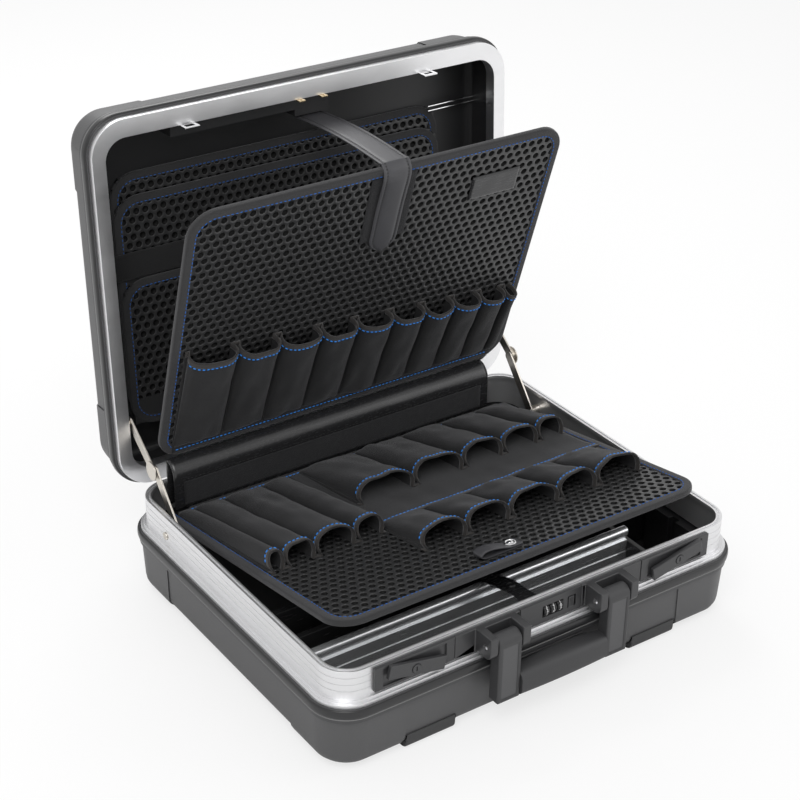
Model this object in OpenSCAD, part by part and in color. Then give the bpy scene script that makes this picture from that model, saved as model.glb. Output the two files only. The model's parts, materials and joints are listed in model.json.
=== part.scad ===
// Hard tool case, shown open, with two tool boards full of pockets.
// The lid turns on two hinges behind the base, two folding stays hold it open,
// one tool board folds with the lid and the other lies over the dividers.
// Heights below are measured from the top of the base's rim unless a note says otherwise.

/* [Base] */
// Outer width of the aluminium band round the base
band_w = 468; // [440:1:500]
// Outer depth of the aluminium band, front to back
band_d = 372; // [350:1:400]
// Corner radius of the band
band_r = 30; // [28:1:40]
// Height of the band's upright face
band_h = 28; // [26:1:34]
// Thickness of the band
band_wall = 2.5; // [2:0.5:4]
// Width of the band's lip round the opening
rim_w = 6; // [5:0.5:8]
// Height of the band's lip
rim_t = 4; // [3:0.5:5]
// Width of the seal groove in the lip
rim_groove = 2; // [1:0.5:2.5]
// Depth of the seal groove
groove_deep = 1.5; // [0.5:0.5:2]
// How far the band's foot flares out over the shell
flare_out = 6; // [4:0.5:7]
// Height of the flared foot of the band
flare_h = 8; // [6:1:12]
// Height of the smooth belt below the band
belt_h = 15; // [10:1:20]
// How far the belt stands out from the band
belt_out = 8; // [7:0.5:10]
// Rim top to the underside of the base shell
base_depth = 103; // [98:1:120]
// Wall of the moulded shells
shell_wall = 3; // [2:0.5:4]
// Inset of the shell sides below the belt
shell_inset = 3; // [2:0.5:4]
// How much the shell sides draw in towards their far face
draft = 4; // [2:0.5:6]
// Rounding of the shells' far edges
edge_round = 13; // [10:1:16]
// How far the corner guards stand out from the shells
guard_out = 1; // [1:0.5:4]
// Length of a corner guard along each side
guard_len = 74; // [60:1:90]

/* [Feet] */
// Height of the feet below the shell
foot_h = 5; // [3:0.5:8]
// Width of a foot
foot_w = 55; // [35:1:58]
// Gap between a foot and the corner guard beside it
foot_gap = 4; // [3:0.5:20]
// Length of the foot's sole, front to back
foot_sole = 30; // [22:1:40]
// How far a foot stands out from the shell
foot_out = 1; // [0.5:0.5:2]
// Rounding of the foot's outer lower edge
foot_r = 9; // [4:1:12]
// Height of the foot's upright lip above the shell's underside
foot_lip = 13; // [11:1:18]

/* [Lid] */
// Depth of the lid from its rim to its outer face
lid_depth = 58; // [56:1:70]
// Width of the lid frame's bright face at the sides
lid_face = 14; // [12:1:16]
// Width of the lid frame's bright face at the front and back
lid_face_front = 18; // [16:1:20]
// Thickness of the lid frame's face
lid_face_t = 2.5; // [2:0.5:4]
// Height of the lid frame's outer wall
lid_frame_h = 8; // [7:0.5:10]
// Height of the lid frame's inner lip
lid_lip_h = 14; // [13:1:18]
// Angle between the lid as shown and the closed lid
open_angle = 93; // [80:1:96]
// Gap between the closed lid and the base's rim
rim_gap = 0.3; // [0.2:0.1:1]
// Thickness of the lid's lining
liner_t = 1.5; // [1:0.5:2.5]
// Thickness of the lid frame's inner lip
lip_t = 2; // [1.5:0.5:3]

/* [Hinges] */
// Distance of the hinge axis behind the band
hinge_back = 6; // [5:0.5:8]
// Distance of the hinge axis below the rim
hinge_drop = 8; // [6:0.5:10]
// Radius of the hinge pin
hinge_pin_r = 1.6; // [1.2:0.1:2]
// Radius of a hinge knuckle
knuckle_r = 3.5; // [3:0.1:4.5]
// Length of one hinge
hinge_len = 80; // [60:1:110]
// Distance of a hinge's middle from the band's side
hinge_in = 104; // [84:1:134]
// Thickness of the hinge leaves
leaf_t = 1.6; // [1.2:0.1:2]
// Running clearance of pins, on the radius
pin_gap = 0.05; // [0.03:0.01:0.1]

/* [Stays] */
// Distance of the stay's base pivot in front of the hinge axis
stay_base_in = 70; // [66:1:76]
// Drop of the stay's base pivot below the rim
stay_base_drop = 21; // [18:1:24]
// Distance of the knee in front of the hinge axis with the lid open
knee_in = 28; // [26:1:32]
// Height of the knee above the rim with the lid open
knee_z = 29; // [27:1:32]
// Distance of the stay's lid pivot behind the hinge axis with the lid open
stay_lid_out = 17; // [15:1:20]
// Height of the stay's lid pivot above the rim with the lid open
stay_lid_z = 63; // [61:1:65]
// Width of the stay arms
arm_w = 11; // [9:0.5:13]
// Thickness of the stay arms
arm_t = 2; // [1.5:0.5:3]
// Radius of the knee's rivet disc
knee_r = 10; // [8:0.5:11]
// Gap between the two arms of a stay
arm_gap = 0.5; // [0.3:0.1:1]
// Thickness of the knee's rivet disc
knee_t = 1.5; // [1:0.5:2]
// Gap between the stays and the lid frame's opening
stay_gap = 0.3; // [0.3:0.1:1]
// Radius of the stays' rivets
rivet_r = 3; // [2:0.1:4]

/* [Latches] */
// Width of a latch plate
latch_w = 86; // [70:1:100]
// Distance of a latch plate's outer end from the band's side
latch_end = 38; // [34:1:43]
// Height of the plates on the band
plate_h = 25; // [20:1:26]
// Thickness of the plates on the band
plate_t = 4; // [3:0.5:5]
// Gap between the rim and the plates
plate_drop = 2; // [1:0.5:3]
// Length of a latch lever
lever_len = 62; // [50:1:64]
// Height of a latch lever
lever_h = 14; // [10:0.5:15]
// Thickness of a latch lever
lever_t = 4.5; // [3:0.5:6]
// Distance of the lever's pivot from its plate's inner end
lever_at = 45; // [40:1:50]
// Drop of the lever's pivot below the rim
lever_drop = 14.5; // [13:0.5:16]
// Tilt of the open levers
lever_tilt = 12; // [5:1:14]
// Radius of the key cylinder in a lever
key_r = 4.5; // [3.5:0.1:5]

// Distance of a latch hook from its plate's inner end
hook_at = 28; // [20:1:40]
// Width of a latch hook
hook_w = 16; // [12:0.5:20]
// How far a latch hook stands out of the lid's face
hook_drop = 10; // [8:0.5:12]
// Width of the bars round a latch hook's opening
hook_wire = 3; // [2:0.5:4]

/* [Lock] */
// Distance of the lock plate's ends from the case's middle
lock_x = 36; // [34:0.5:38]
// Radius of a number dial
dial_r = 5.5; // [4.5:0.1:6.5]
// Width of a number dial
dial_w = 6.5; // [5:0.1:7]
// Spacing of the number dials
dial_pitch = 8; // [7.5:0.1:9]
// Place of the middle dial along the plate
dial_x = 2.5; // [0:0.5:5]
// Drop of the dials' axle below the rim
dial_drop = 15; // [14:0.5:16]
// Radius of the dials' axle
axle_r = 1.2; // [1:0.1:1.5]
// Width of the opening slide
slide_w = 6; // [4:0.5:7]
// Travel of the opening slide
slide_travel = 3; // [2:0.5:4]
// Gap between the dials and the sides of their window
dial_gap = 0.7; // [0.4:0.1:1]

/* [Handle] */
// Distance of a handle bracket's middle from the case's middle
bracket_x = 64; // [62:1:68]
// Width of a handle bracket
bracket_w = 46; // [42:1:50]
// Thickness of a bracket's cheeks
cheek_t = 9; // [7:0.5:10]
// How far the cheeks reach out from the plates
cheek_out = 23; // [20:1:26]
// Distance of the handle's axis in front of the band
handle_out = 18.5; // [17:0.5:20]
// Drop of the handle's axis below the rim
handle_drop = 14; // [13:0.5:16]
// Radius of the handle pins
handle_pin_r = 2.5; // [2:0.1:3]
// Radius of the arms' rounded tops
arm_top_r = 9; // [8:0.5:9.5]
// Side clearance of an arm between its cheeks
arm_side_gap = 1; // [0.5:0.1:1.5]
// Length of the handle arms below their axis
handle_len = 64; // [56:1:72]
// Thickness of the handle arms
handle_arm_t = 14; // [10:0.5:15]
// Height of the grip
grip_h = 28; // [24:1:32]
// Thickness of the grip, front to back
grip_t = 22; // [18:1:26]
// How much the middle of the grip swells
grip_swell = 2; // [1:0.5:3]
// How far the grip's middle hangs in front of the handle's axis
grip_lead = 1.5; // [1.5:0.5:9]

/* [Tool boards] */
// Distance of the tool boards' sides from the band's sides
board_side = 22; // [19:1:34]
// Thickness of the tool boards
board_t = 4.4; // [3:0.2:5]
// Corner radius of the tool boards
board_r = 28; // [20:1:34]
// Width of the fabric binding on a board
binding_w = 9; // [7:0.5:12]
// Thickness of the fabric binding
binding_t = 0.9; // [0.5:0.1:1.5]
// Length of the upper tool board
upper_len = 310; // [290:1:312]
// Lean of the upper board from upright
upper_lean = 17.2; // [14:0.1:20]
// Distance of the upper board's lower edge in front of the band's rear face
upper_in = 10; // [9:1:12]
// Height of the upper board's lower edge above the rim
upper_z = 33; // [31:1:35]
// Length of the lower tool board
lower_len = 330; // [310:1:332]
// Tilt of the lower board as shown
lower_tilt = 10.1; // [8:0.1:12]
// Distance of the lower board's rear edge in front of the band's rear face
lower_in = 26; // [24:1:28]
// Drop of the lower board's rear edge below the rim
lower_drop = 24; // [19:1:25]
// Place of the lower board's middle across the case
lower_x = -5; // [-5:0.5:0]
// Length of the fabric hem that carries the lower board
hem_len = 9; // [7:1:12]
// Gap between the hem and the lower board
hem_gap = 0.4; // [0.3:0.1:0.8]

/* [Pockets] */
// Thickness of the pocket fabric
pocket_t = 1.6; // [1.2:0.1:1.8]
// How far a pocket stands out where it is sewn down
pocket_flat = 2; // [1.9:0.1:3]
// Distance of the upper pockets' sewn ends from the board's hem
upper_start = 17; // [16:0.5:24]
// Distance of the long left pockets' sewn ends from the board's hem
long_start = 25; // [24:0.5:32]
// Distance of the long right pockets' sewn ends from the board's hem
middle_start = 15; // [14:0.5:24]
// How far an upper pocket stands out at its mouth
upper_pocket_h = 18; // [12:0.5:19]
// Place of the upper pockets' mouths along the board, at its middle
upper_mouth = 121; // [100:1:130]
// Slope of the line of the upper pockets' mouths, which are lower to the right
upper_slope = 5.3; // [0:0.1:6]
// How far a lower pocket stands out at its mouth
lower_pocket_h = 22; // [14:0.5:23]
// Place of the long left pockets' mouths along the board
long_mouth = 195; // [170:1:210]
// Place of the long right pockets' mouths along the board
middle_mouth = 128; // [110:1:150]
// Place of the seam that carries the short pockets
short_seam = 182; // [170:1:190]
// Place of the short pockets' mouths along the board
short_mouth = 256; // [235:1:270]

// Distance of the loop strap from the lower board's hem
loop_y = 300; // [280:1:302]
// Left end of the loop strap
loop_x = -46; // [-60:1:-30]
// Length of the loop strap
loop_len = 48; // [40:1:60]
// Width of the loop strap
loop_w = 14; // [10:1:16]
// Thickness of the loop strap
loop_t = 2; // [1:0.5:3]
// Radius of the loop strap's press stud
loop_stud_r = 6; // [4:0.5:6.5]
// Distance of the press stud from the strap's right end
loop_stud = 10; // [8:1:14]

/* [Spine] */
// Distance of the leather spine's ends from the band's sides
spine_side = 30; // [30:1:44]
// How much shorter the spine is at its right end
spine_short = 18; // [0:1:24]
// Thickness of the spine's leather
spine_t = 2; // [1.5:0.1:3]
// Gap between the spine and the boards that turn against it
spine_gap = 0.5; // [0.4:0.1:1]
// Radius of the spine's rounded shoulder
spine_r = 16; // [12:1:16]
// How far the spine's face stands in front of the lower board's rear edge
spine_face = 4; // [3:0.5:5]
// Gap between the spine and the closed lid's frame
spine_lid_gap = 1.2; // [0.6:0.1:2]

/* [Strap] */
// Width of the strap that holds the upper board
strap_w = 32; // [26:1:38]
// Thickness of the strap
strap_t = 2.4; // [1.6:0.2:3.2]
// Distance of the strap from the case's middle
strap_x = 9; // [0:1:12]
// Length of the strap down the upper board
strap_drop = 100; // [70:1:120]

/* [Dividers] */
// Thickness of a divider
divider_t = 9; // [7:0.5:12]
// Drop of the dividers' top edge below the rim
divider_drop = 22; // [21:1:30]
// Distance of the cross divider from the band's side
cross_in = 76; // [54:1:114]
// Thickness of the cross divider
cross_t = 6; // [4:0.5:9]
// Radius of the bead along a divider's top
bead_r = 5.5; // [4.5:0.5:7]
// Height of the neck under the bead
bead_neck = 3; // [2:0.5:5]
// Height of the flat face between the neck and the recess
divider_face = 9; // [6:0.5:12]
// Height of the recess along a divider's faces
divider_recess = 5; // [3:0.5:7]
// Depth of the recess
recess_in = 1; // [0.5:0.25:1.5]
// Distance of the front divider behind the band's front
divider_in = 74; // [66:1:84]
// Spacing of the dividers
divider_pitch = 43; // [40:1:55]
// Thickness of the rails that hold the dividers' ends
rail_t = 12; // [8:0.5:13]
// Drop of the rails' top below the rim
rail_drop = 38; // [37:1:50]
// Clearance round the dividers' ends
divider_gap = 0.3; // [0.2:0.1:0.6]
// Number of slots in each rail
rail_slots = 4; // [2:1:5]
// Distance of the rails' ends from the band's front and back
rail_end = 41; // [36:1:46]

/* [Closing tongue] */
// Width of the tongue that holds the lower board down
tongue_w = 20; // [16:1:26]
// Thickness of the tongue
tongue_t = 2; // [1:0.1:2.5]
// How far the tongue reaches in from the band
tongue_reach = 76; // [60:1:80]
// Distance of the tongue from the case's middle
tongue_x = -14; // [-40:1:40]
// Drop of the tongue's root below the rim
tongue_drop = 7; // [6:0.5:7.5]
// How much the tongue arches up between its ends
tongue_arch = 4; // [3.5:0.5:7]
// Radius of the tongue's press stud
stud_r = 4.5; // [3:0.5:6]

/* [Lid boards] */
// How far the strap's moulded boss reaches in from the lid's free end
strap_boss = 33; // [30:1:33]
// How far the moulded ledge reaches in from the lid's free end
ledge_in = 26; // [20:1:30]
// Distance of the moulded ledge's end from the band's side
ledge_side = 84; // [64:1:134]
// Distance of the lid boards' sides from the band's sides
lid_board_side = 40; // [34:1:54]
// Thickness of a board in the lid
lid_board_t = 3; // [2:0.5:4]
// Distance of the rear board's top edge from the hinge side's end
lid_board_top = 71; // [60:1:80]
// Step between the two boards' top edges
lid_board_step = 23; // [15:1:35]
// Height of the dark band across the boards
lid_band_h = 28; // [20:1:35]
// Distance of the dark band from the lid's middle, towards its free edge
lid_band_y = 40; // [30:1:50]
// Distance of the lid boards' far edges from the lid frame's opening
lid_board_end = 34; // [30:1:44]
// Gap between the boards lying in the lid
lid_board_gap = 0.4; // [0.3:0.1:0.8]
// Distance of the lid's boards from the case's middle, to the left
lid_board_x = 8; // [0:1:10]

/* [Hidden] */
$fn = 64;
// A hair's breadth, for cuts that pass right through
cut = 1;

// Play between the lining and the lid's shell
liner_gap = 0.3;

// Widths and lengths that follow the band
board_w = band_w - 2 * board_side;
spine_w = band_w - 2 * spine_side;
lid_board_w = band_w - 2 * lid_board_side;
rail_len = band_d - 2 * rail_end;

// Outlines that several pieces share
lid_w = band_w + 2 * flare_out;
lid_d = band_d + 2 * flare_out;
lid_r = band_r + flare_out;
belt_w = band_w + 2 * belt_out;
belt_d = band_d + 2 * belt_out;
belt_r = band_r + belt_out;
shell_w = belt_w - 2 * shell_inset;
shell_d = belt_d - 2 * shell_inset;
shell_r = belt_r - shell_inset;
belt_top = band_h + flare_h;
belt_low = belt_top + belt_h;
front = -band_d / 2;
plate_front = front - plate_t;
guard_slope = 6;

// Places across the case, from its middle
foot_x = shell_w / 2 - guard_len - foot_gap - foot_w / 2;
hinge_x = band_w / 2 - hinge_in;
latch_x = band_w / 2 - latch_end - latch_w;
lever_x = latch_x + lever_at;
hook_x = latch_x + hook_at;
cross_x = band_w / 2 - cross_in;
ledge_len = band_w / 2 - ledge_side;

// The case stands on its feet, with the middle of its open outline over the origin
hinge_y = band_d / 2 + hinge_back;
hinge_z = -hinge_drop;
stay_base_y = hinge_y - stay_base_in;
knee_y = hinge_y - knee_in;
stay_lid_y = hinge_y + stay_lid_out;
upper_y = band_d / 2 - upper_in;
lower_y = band_d / 2 - lower_in;
divider_y = front + divider_in;
grip_y = front - handle_out - grip_lead;
grip_front = grip_y - grip_t / 2 - grip_swell;
lid_arc_y = -shell_d / 2 + draft / 2 + edge_round - guard_out;
lid_arc_z = lid_depth + guard_out - edge_round;
lid_back = hinge_y + (lid_arc_y - hinge_y) * cos(open_angle)
    + (lid_arc_z - hinge_z) * sin(open_angle) + edge_round;
middle_y = (lid_back + grip_front) / 2;
rim_z = base_depth + foot_h;

// Pivots of the stays with the lid closed, so that the lid's pieces can be drawn closed
stay_lid_back = stay_lid_y - hinge_y;
stay_lid_up = stay_lid_z - hinge_z;
stay_lid_closed_y = hinge_y + stay_lid_back * cos(open_angle) - stay_lid_up * sin(open_angle);
stay_lid_closed_z = hinge_z + stay_lid_back * sin(open_angle) + stay_lid_up * cos(open_angle);
lower_arm_len = norm([knee_y - stay_base_y, knee_z + stay_base_drop]);
lower_arm_turn = atan2(knee_z + stay_base_drop, knee_y - stay_base_y);
upper_arm_len = norm([stay_lid_y - knee_y, stay_lid_z - knee_z]);
upper_arm_turn = atan2(knee_z - stay_lid_z, knee_y - stay_lid_y);
stay_x = lid_w / 2 - lid_face - stay_gap;
upper_arm_x = stay_x - knee_t - arm_t;
lower_arm_x = upper_arm_x - arm_gap - arm_t;

// Places on the handle and the latches
arm_wide = bracket_w - 2 * cheek_t - 2 * arm_side_gap;
handle_y = front - handle_out;
arm_front = handle_y - arm_top_r;
lever_y = plate_front - rim_gap;
lever_share = 0.53;
lever_pin_r = 2;

// Places on the lock
dial_z = -dial_drop;
dial_show = 2;
dial_y = plate_front + dial_r - dial_show;
window_w = 2 * dial_pitch + dial_w + 2 * dial_gap;
window_h = 2 * dial_r + 2 * dial_gap;
lock_wall = 1.5;
lock_deep = 2 * dial_r - dial_show + dial_gap + lock_wall;
slide_h = 12;
slide_gap = 0.3;
slide_x = dial_x + 2 * dial_pitch + 2;

// The press stud's place along the tongue
stud_at = 0.48;

// Places on the dividers and in the lid
rail_x = (shell_w - draft) / 2 - shell_wall;
floor_z = -base_depth + shell_wall;
lid_ceiling = lid_depth - shell_wall - liner_gap - liner_t;
lid_inner_w = lid_w - 2 * lid_face;
lid_inner_d = lid_d - 2 * lid_face_front;
lid_inner_r = lid_r - lid_face;
lid_top = -shell_d / 2;
lid_board_z = lid_ceiling - lid_board_gap - lid_board_t;
lid_board_low = lid_inner_d / 2 - lid_board_end;
board_half = board_t / 2 + binding_t;

// Outline of the spine. Its top lies under the lowest corner of the leaning upper board
spine_face_y = lower_y - spine_face;
spine_back = lid_inner_d / 2 - spine_lid_gap;
spine_top = upper_z - board_half * sin(upper_lean) - spine_gap;
spine_low = -lower_drop + board_half + spine_gap;

// The wall that the lining's moulded steps stand on, with the lid closed, and the strap's boss
boss_wall = -shell_d / 2 + shell_wall + liner_gap + draft / 2 + liner_t - 1;
boss_face = boss_wall + strap_boss;
boss_low = lid_lip_h + rim_gap + liner_gap;
boss_margin = 4;

// Ends of the strap's free stretch, in the side view with the lid open. Its root lies
// under the boss, and its bend over the upper board's top edge
root_gap = 2;
root_in = 9;
root_y = boss_face + strap_t / 2 + root_gap - hinge_y;
root_z = boss_low + root_in - hinge_z;
bend_over = 3.2;
strap_arch = 4;
strap_root = [hinge_y + root_y * cos(open_angle) + root_z * sin(open_angle),
    hinge_z - root_y * sin(open_angle) + root_z * cos(open_angle)];
strap_bend = [upper_y - upper_len * sin(upper_lean) + bend_over,
    upper_z + upper_len * cos(upper_lean) + bend_over];

// Widths of the pockets, from the left, and the left edge of each row. They are drawn for
// a board of 406 mm between its bindings, and follow its width
drawn_inside = 406;
pocket_share = (board_w - 2 * binding_w) / drawn_inside;
upper_pocket_w = pocket_share * [56, 48, 48, 44, 44, 40, 38, 36, 32, 15];
upper_pocket_x = pocket_share * -198.5;
upper_split = 5;
long_pocket_w = pocket_share * [18, 34, 45, 32];
long_pocket_x = pocket_share * -202.5;
middle_pocket_w = pocket_share * [69, 61, 51, 46, 34];
middle_pocket_x = pocket_share * -60;
short_pocket_w = pocket_share * [53, 51, 60, 48, 56];
short_pocket_x = pocket_share * -72;

// The small patch on the upper board, and the soft strip under the strap
patch_w = 58;
patch_h = 28;
patch_t = 1.5;
patch_x = board_w / 2 - 104;
patch_y = upper_len - 67;
strip_w = strap_w + 20;
strip_h = strap_drop - 22;

// Frames of reference

module on_floor() {
    translate([0, -middle_y, rim_z]) children();
}

module in_lid() {
    on_floor() translate([0, hinge_y, hinge_z]) rotate([-open_angle, 0, 0])
        translate([0, -hinge_y, -hinge_z]) children();
}

// A board's frame has x across, y along the board from its hem, and z out of its pocket side
module on_upper_board() {
    on_floor() translate([0, upper_y, upper_z]) rotate([90 + upper_lean, 0, 0]) children();
}

module on_lower_board() {
    on_floor() translate([lower_x, lower_y, -lower_drop]) rotate([-lower_tilt, 0, 0])
        rotate([0, 0, 180]) mirror([1, 0, 0]) children();
}

module along_x(x, len) {
    translate([x, 0, 0]) rotate([90, 0, 90]) linear_extrude(len) children();
}

module both_sides() {
    children();
    mirror([1, 0, 0]) children();
}

// Shared shapes

module round_plan(w, d, r) {
    square([w - 2 * r, d], center = true);
    square([w, d - 2 * r], center = true);
    for (x = [-1, 1], y = [-1, 1])
        translate([x * (w / 2 - r), y * (d / 2 - r)]) circle(r);
}

module round_ring(w, d, r, wall) {
    difference() {
        round_plan(w, d, r);
        round_plan(w - 2 * wall, d - 2 * wall, r - wall);
    }
}

// One closed tray form, widest at its open side and rounded at its far side
module tray(w, d, r, top, bottom, draw, edge, grow) {
    steps = 5;
    hull() {
        translate([0, 0, top]) linear_extrude(0.01)
            round_plan(w + 2 * grow, d + 2 * grow, r + grow);
        for (i = [0:steps]) {
            a = 90 * i / steps;
            inset = draw / 2 + edge * (1 - cos(a)) - grow;
            sink = edge * (1 - sin(a));
            translate([0, 0, bottom + sign(top - bottom) * (sink - grow)]) linear_extrude(0.01)
                round_plan(w - 2 * inset, d - 2 * inset, r - inset);
        }
    }
}

// The four corner blocks that the guards are cut from, with sloping ends
module corner_blocks(w, d, low, high) {
    slope = guard_slope;
    for (x = [-1, 1], y = [-1, 1])
        translate([x * w / 2, y * d / 2, low])
            linear_extrude(high - low) polygon([
                [x * guard_out * 2, y * guard_out * 2],
                [-x * (guard_len + slope), y * guard_out * 2],
                [-x * guard_len, -y * shell_wall],
                [-x * guard_len, -y * guard_len],
                [-x * shell_wall, -y * guard_len],
                [x * guard_out * 2, -y * (guard_len + slope)]]);
}

// A thin curved sheet between two grids of points, as triangles
module sheet_solid(outer, inner) {
    rows = len(outer);
    cols = len(outer[0]);
    size = rows * cols;
    m = rows - 1;
    n = cols - 1;
    points = concat([for (row = outer) for (p = row) p], [for (row = inner) for (p = row) p]);
    faces = concat(
        [for (j = [0:m - 1], i = [0:n - 1]) [j * cols + i, (j + 1) * cols + i, (j + 1) * cols + i + 1]],
        [for (j = [0:m - 1], i = [0:n - 1]) [j * cols + i, (j + 1) * cols + i + 1, j * cols + i + 1]],
        [for (j = [0:m - 1], i = [0:n - 1])
            [size + j * cols + i, size + (j + 1) * cols + i + 1, size + (j + 1) * cols + i]],
        [for (j = [0:m - 1], i = [0:n - 1])
            [size + j * cols + i, size + j * cols + i + 1, size + (j + 1) * cols + i + 1]],
        [for (j = [0:m - 1]) [(j + 1) * cols, j * cols, size + j * cols]],
        [for (j = [0:m - 1]) [(j + 1) * cols, size + j * cols, size + (j + 1) * cols]],
        [for (j = [0:m - 1]) [j * cols + n, (j + 1) * cols + n, size + (j + 1) * cols + n]],
        [for (j = [0:m - 1]) [j * cols + n, size + (j + 1) * cols + n, size + j * cols + n]],
        [for (i = [0:n - 1]) [i, i + 1, size + i + 1]],
        [for (i = [0:n - 1]) [i, size + i + 1, size + i]],
        [for (i = [0:n - 1]) [m * cols + i + 1, m * cols + i, size + m * cols + i]],
        [for (i = [0:n - 1]) [m * cols + i + 1, size + m * cols + i, size + m * cols + i + 1]]);
    polyhedron(points, faces);
}

// One pocket: flat at its seam, arched at its mouth. x is its middle
function arch(x, w, h, y, base, n) = [for (i = [0:n])
    [x - w / 2 * cos(180 * i / n), y, base + h * pow(max(sin(180 * i / n), 0), 0.8)]];

module pocket(x, w, from, to, h) {
    n = 10;
    stations = [0, 0.3, 0.65, 1];
    base = board_t / 2;
    grow = [for (t = stations) pocket_flat + (h - pocket_flat) * pow(t, 0.7)];
    sheet_solid(
        [for (k = [0:3]) arch(x, w, grow[k], from + (to - from) * stations[k], base, n)],
        [for (k = [0:3]) arch(x, w - 2 * pocket_t, grow[k] - pocket_t,
            from + (to - from) * stations[k], base, n)]);
}

function left_edge(widths, start, k) = k == 0 ? start : left_edge(widths, start, k - 1) + widths[k - 1];

// The pockets of one row keep a seam of the fabric's thickness between them.
// Their mouths lie on a line through the board's middle, lower to the right by the slope
module pocket_row(widths, start, from, to, h, slope = 0) {
    for (k = [0:len(widths) - 1]) {
        x = left_edge(widths, start, k) + widths[k] / 2;
        pocket(x, widths[k] - pocket_t, from, to - x * tan(slope), h);
    }
}

// A board lies on its hem line, with y = 0 at the hem
module board_plan(len, grow) {
    translate([0, len / 2]) round_plan(board_w + 2 * grow, len + 2 * grow, board_r + grow);
}

module board_plate(len, start) {
    intersection() {
        translate([0, 0, -board_t / 2]) linear_extrude(board_t) board_plan(len, 0);
        translate([-board_w, start, -board_t]) cube([2 * board_w, len, 2 * board_t]);
    }
}

module board_binding(len, start) {
    t = board_t / 2 + binding_t;
    difference() {
        translate([0, 0, -t]) linear_extrude(2 * t) difference() {
            board_plan(len, binding_t);
            board_plan_inside(len);
            translate([-board_w, -board_w]) square([2 * board_w, board_w + start]);
        }
        translate([0, 0, -board_t / 2]) linear_extrude(board_t) board_plan(len, 0);
    }
}

module board_plan_inside(len) {
    translate([0, len / 2]) round_plan(board_w - 2 * binding_w, len - 2 * binding_w, board_r - binding_w);
}

// Base

module base_shell() {
    low = -base_depth;
    color("#4a4a4c") on_floor() {
        translate([0, 0, -belt_low]) linear_extrude(belt_h) difference() {
            round_plan(belt_w, belt_d, belt_r);
            round_plan(shell_w - 2 * shell_wall, shell_d - 2 * shell_wall, shell_r - shell_wall);
        }
        difference() {
            union() {
                tray(shell_w, shell_d, shell_r, -belt_low, low, draft, edge_round, 0);
                intersection() {
                    tray(shell_w, shell_d, shell_r, -belt_low, low, draft, edge_round, guard_out);
                    corner_blocks(shell_w, shell_d, low - guard_out, -belt_low);
                }
            }
            tray(shell_w - 2 * shell_wall, shell_d - 2 * shell_wall, shell_r - shell_wall,
                -belt_low + 0.01, floor_z, draft, edge_round - shell_wall, 0);
        }
        finger_ribs();
    }
}

// Ribs on the shell behind the grip
module finger_ribs() {
    ribs = 6;
    pitch = 5;
    rib_r = 1;
    slant = draft / 2 / (base_depth - belt_low);
    for (k = [1:ribs])
        translate([0, -shell_d / 2 + slant * k * pitch, -belt_low - k * pitch])
            rotate([0, 90, 0])
                cylinder(r = rib_r, h = 2 * bracket_x - bracket_w, center = true, $fn = 24);
}

module base_band() {
    groove = 0.5;
    color("#d9d9da") on_floor() difference() {
        union() {
            translate([0, 0, -belt_top]) linear_extrude(belt_top)
                round_ring(band_w, band_d, band_r, band_wall);
            translate([0, 0, -rim_t]) linear_extrude(rim_t) round_ring(band_w, band_d, band_r, rim_w);
            translate([0, 0, -belt_top]) linear_extrude(flare_h / 2)
                round_ring(lid_w, lid_d, lid_r, flare_out + band_wall);
            translate([0, 0, -belt_top + flare_h / 2]) linear_extrude(flare_h / 4)
                round_ring(lid_w - flare_out, lid_d - flare_out, lid_r - flare_out / 2,
                    flare_out / 2 + band_wall);
        }
        translate([0, 0, -groove_deep]) linear_extrude(groove_deep + cut)
            groove_ring((rim_w - rim_groove) / 2, rim_groove);
        for (k = [1:3])
            translate([0, 0, -band_h * k / 4 - groove]) linear_extrude(groove)
                difference() {
                    round_plan(band_w + cut, band_d + cut, band_r + cut / 2);
                    round_plan(band_w - groove, band_d - groove, band_r - groove / 2);
                }
        for (x = [-1, 1])
            translate([x * band_w / 2, stay_base_y, -stay_base_drop]) rotate([0, 90, 0])
                cylinder(r = rivet_r, h = 4 * band_wall, center = true);
        lock_window();
    }
}

// A ring of the given width, set in from the band's outline
module groove_ring(inset, width) {
    round_ring(band_w - 2 * inset, band_d - 2 * inset, band_r - inset, width);
}

// The opening in the band that the lock's works stand in
module lock_window() {
    translate([-lock_x + plate_t, front - cut, -plate_drop - plate_h + plate_t])
        cube([2 * (lock_x - plate_t), band_wall + 2 * cut, plate_h - 2 * plate_t]);
}

// The section of the shell's side, which the feet wrap round
module shell_section() {
    side = shell_d / 2 - draft / 2;
    translate([-cut, -base_depth]) square([side - edge_round + cut, base_depth - belt_low]);
    polygon([[0, -belt_low], [shell_d / 2, -belt_low], [side, edge_round - base_depth],
        [0, edge_round - base_depth]]);
    translate([side - edge_round, edge_round - base_depth]) circle(edge_round);
}

module foot_section() {
    out = shell_d / 2 - draft / 2 + foot_out;
    difference() {
        union() {
            translate([out - foot_sole, -rim_z]) square([foot_sole - foot_r, foot_h + foot_lip]);
            translate([out - foot_r - cut, -rim_z + foot_r])
                square([foot_r + cut, foot_h + foot_lip - foot_r]);
            translate([out - foot_r, -rim_z + foot_r]) circle(foot_r);
        }
        shell_section();
    }
}

// A pair of feet along the front or the rear edge
module feet(side) {
    color("#2a2a2b") on_floor() mirror([0, side < 0 ? 1 : 0, 0]) both_sides()
        along_x(foot_x - foot_w / 2, foot_w) foot_section();
}

module feet_front() { feet(-1); }
module feet_rear() { feet(1); }

// Dividers

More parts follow.
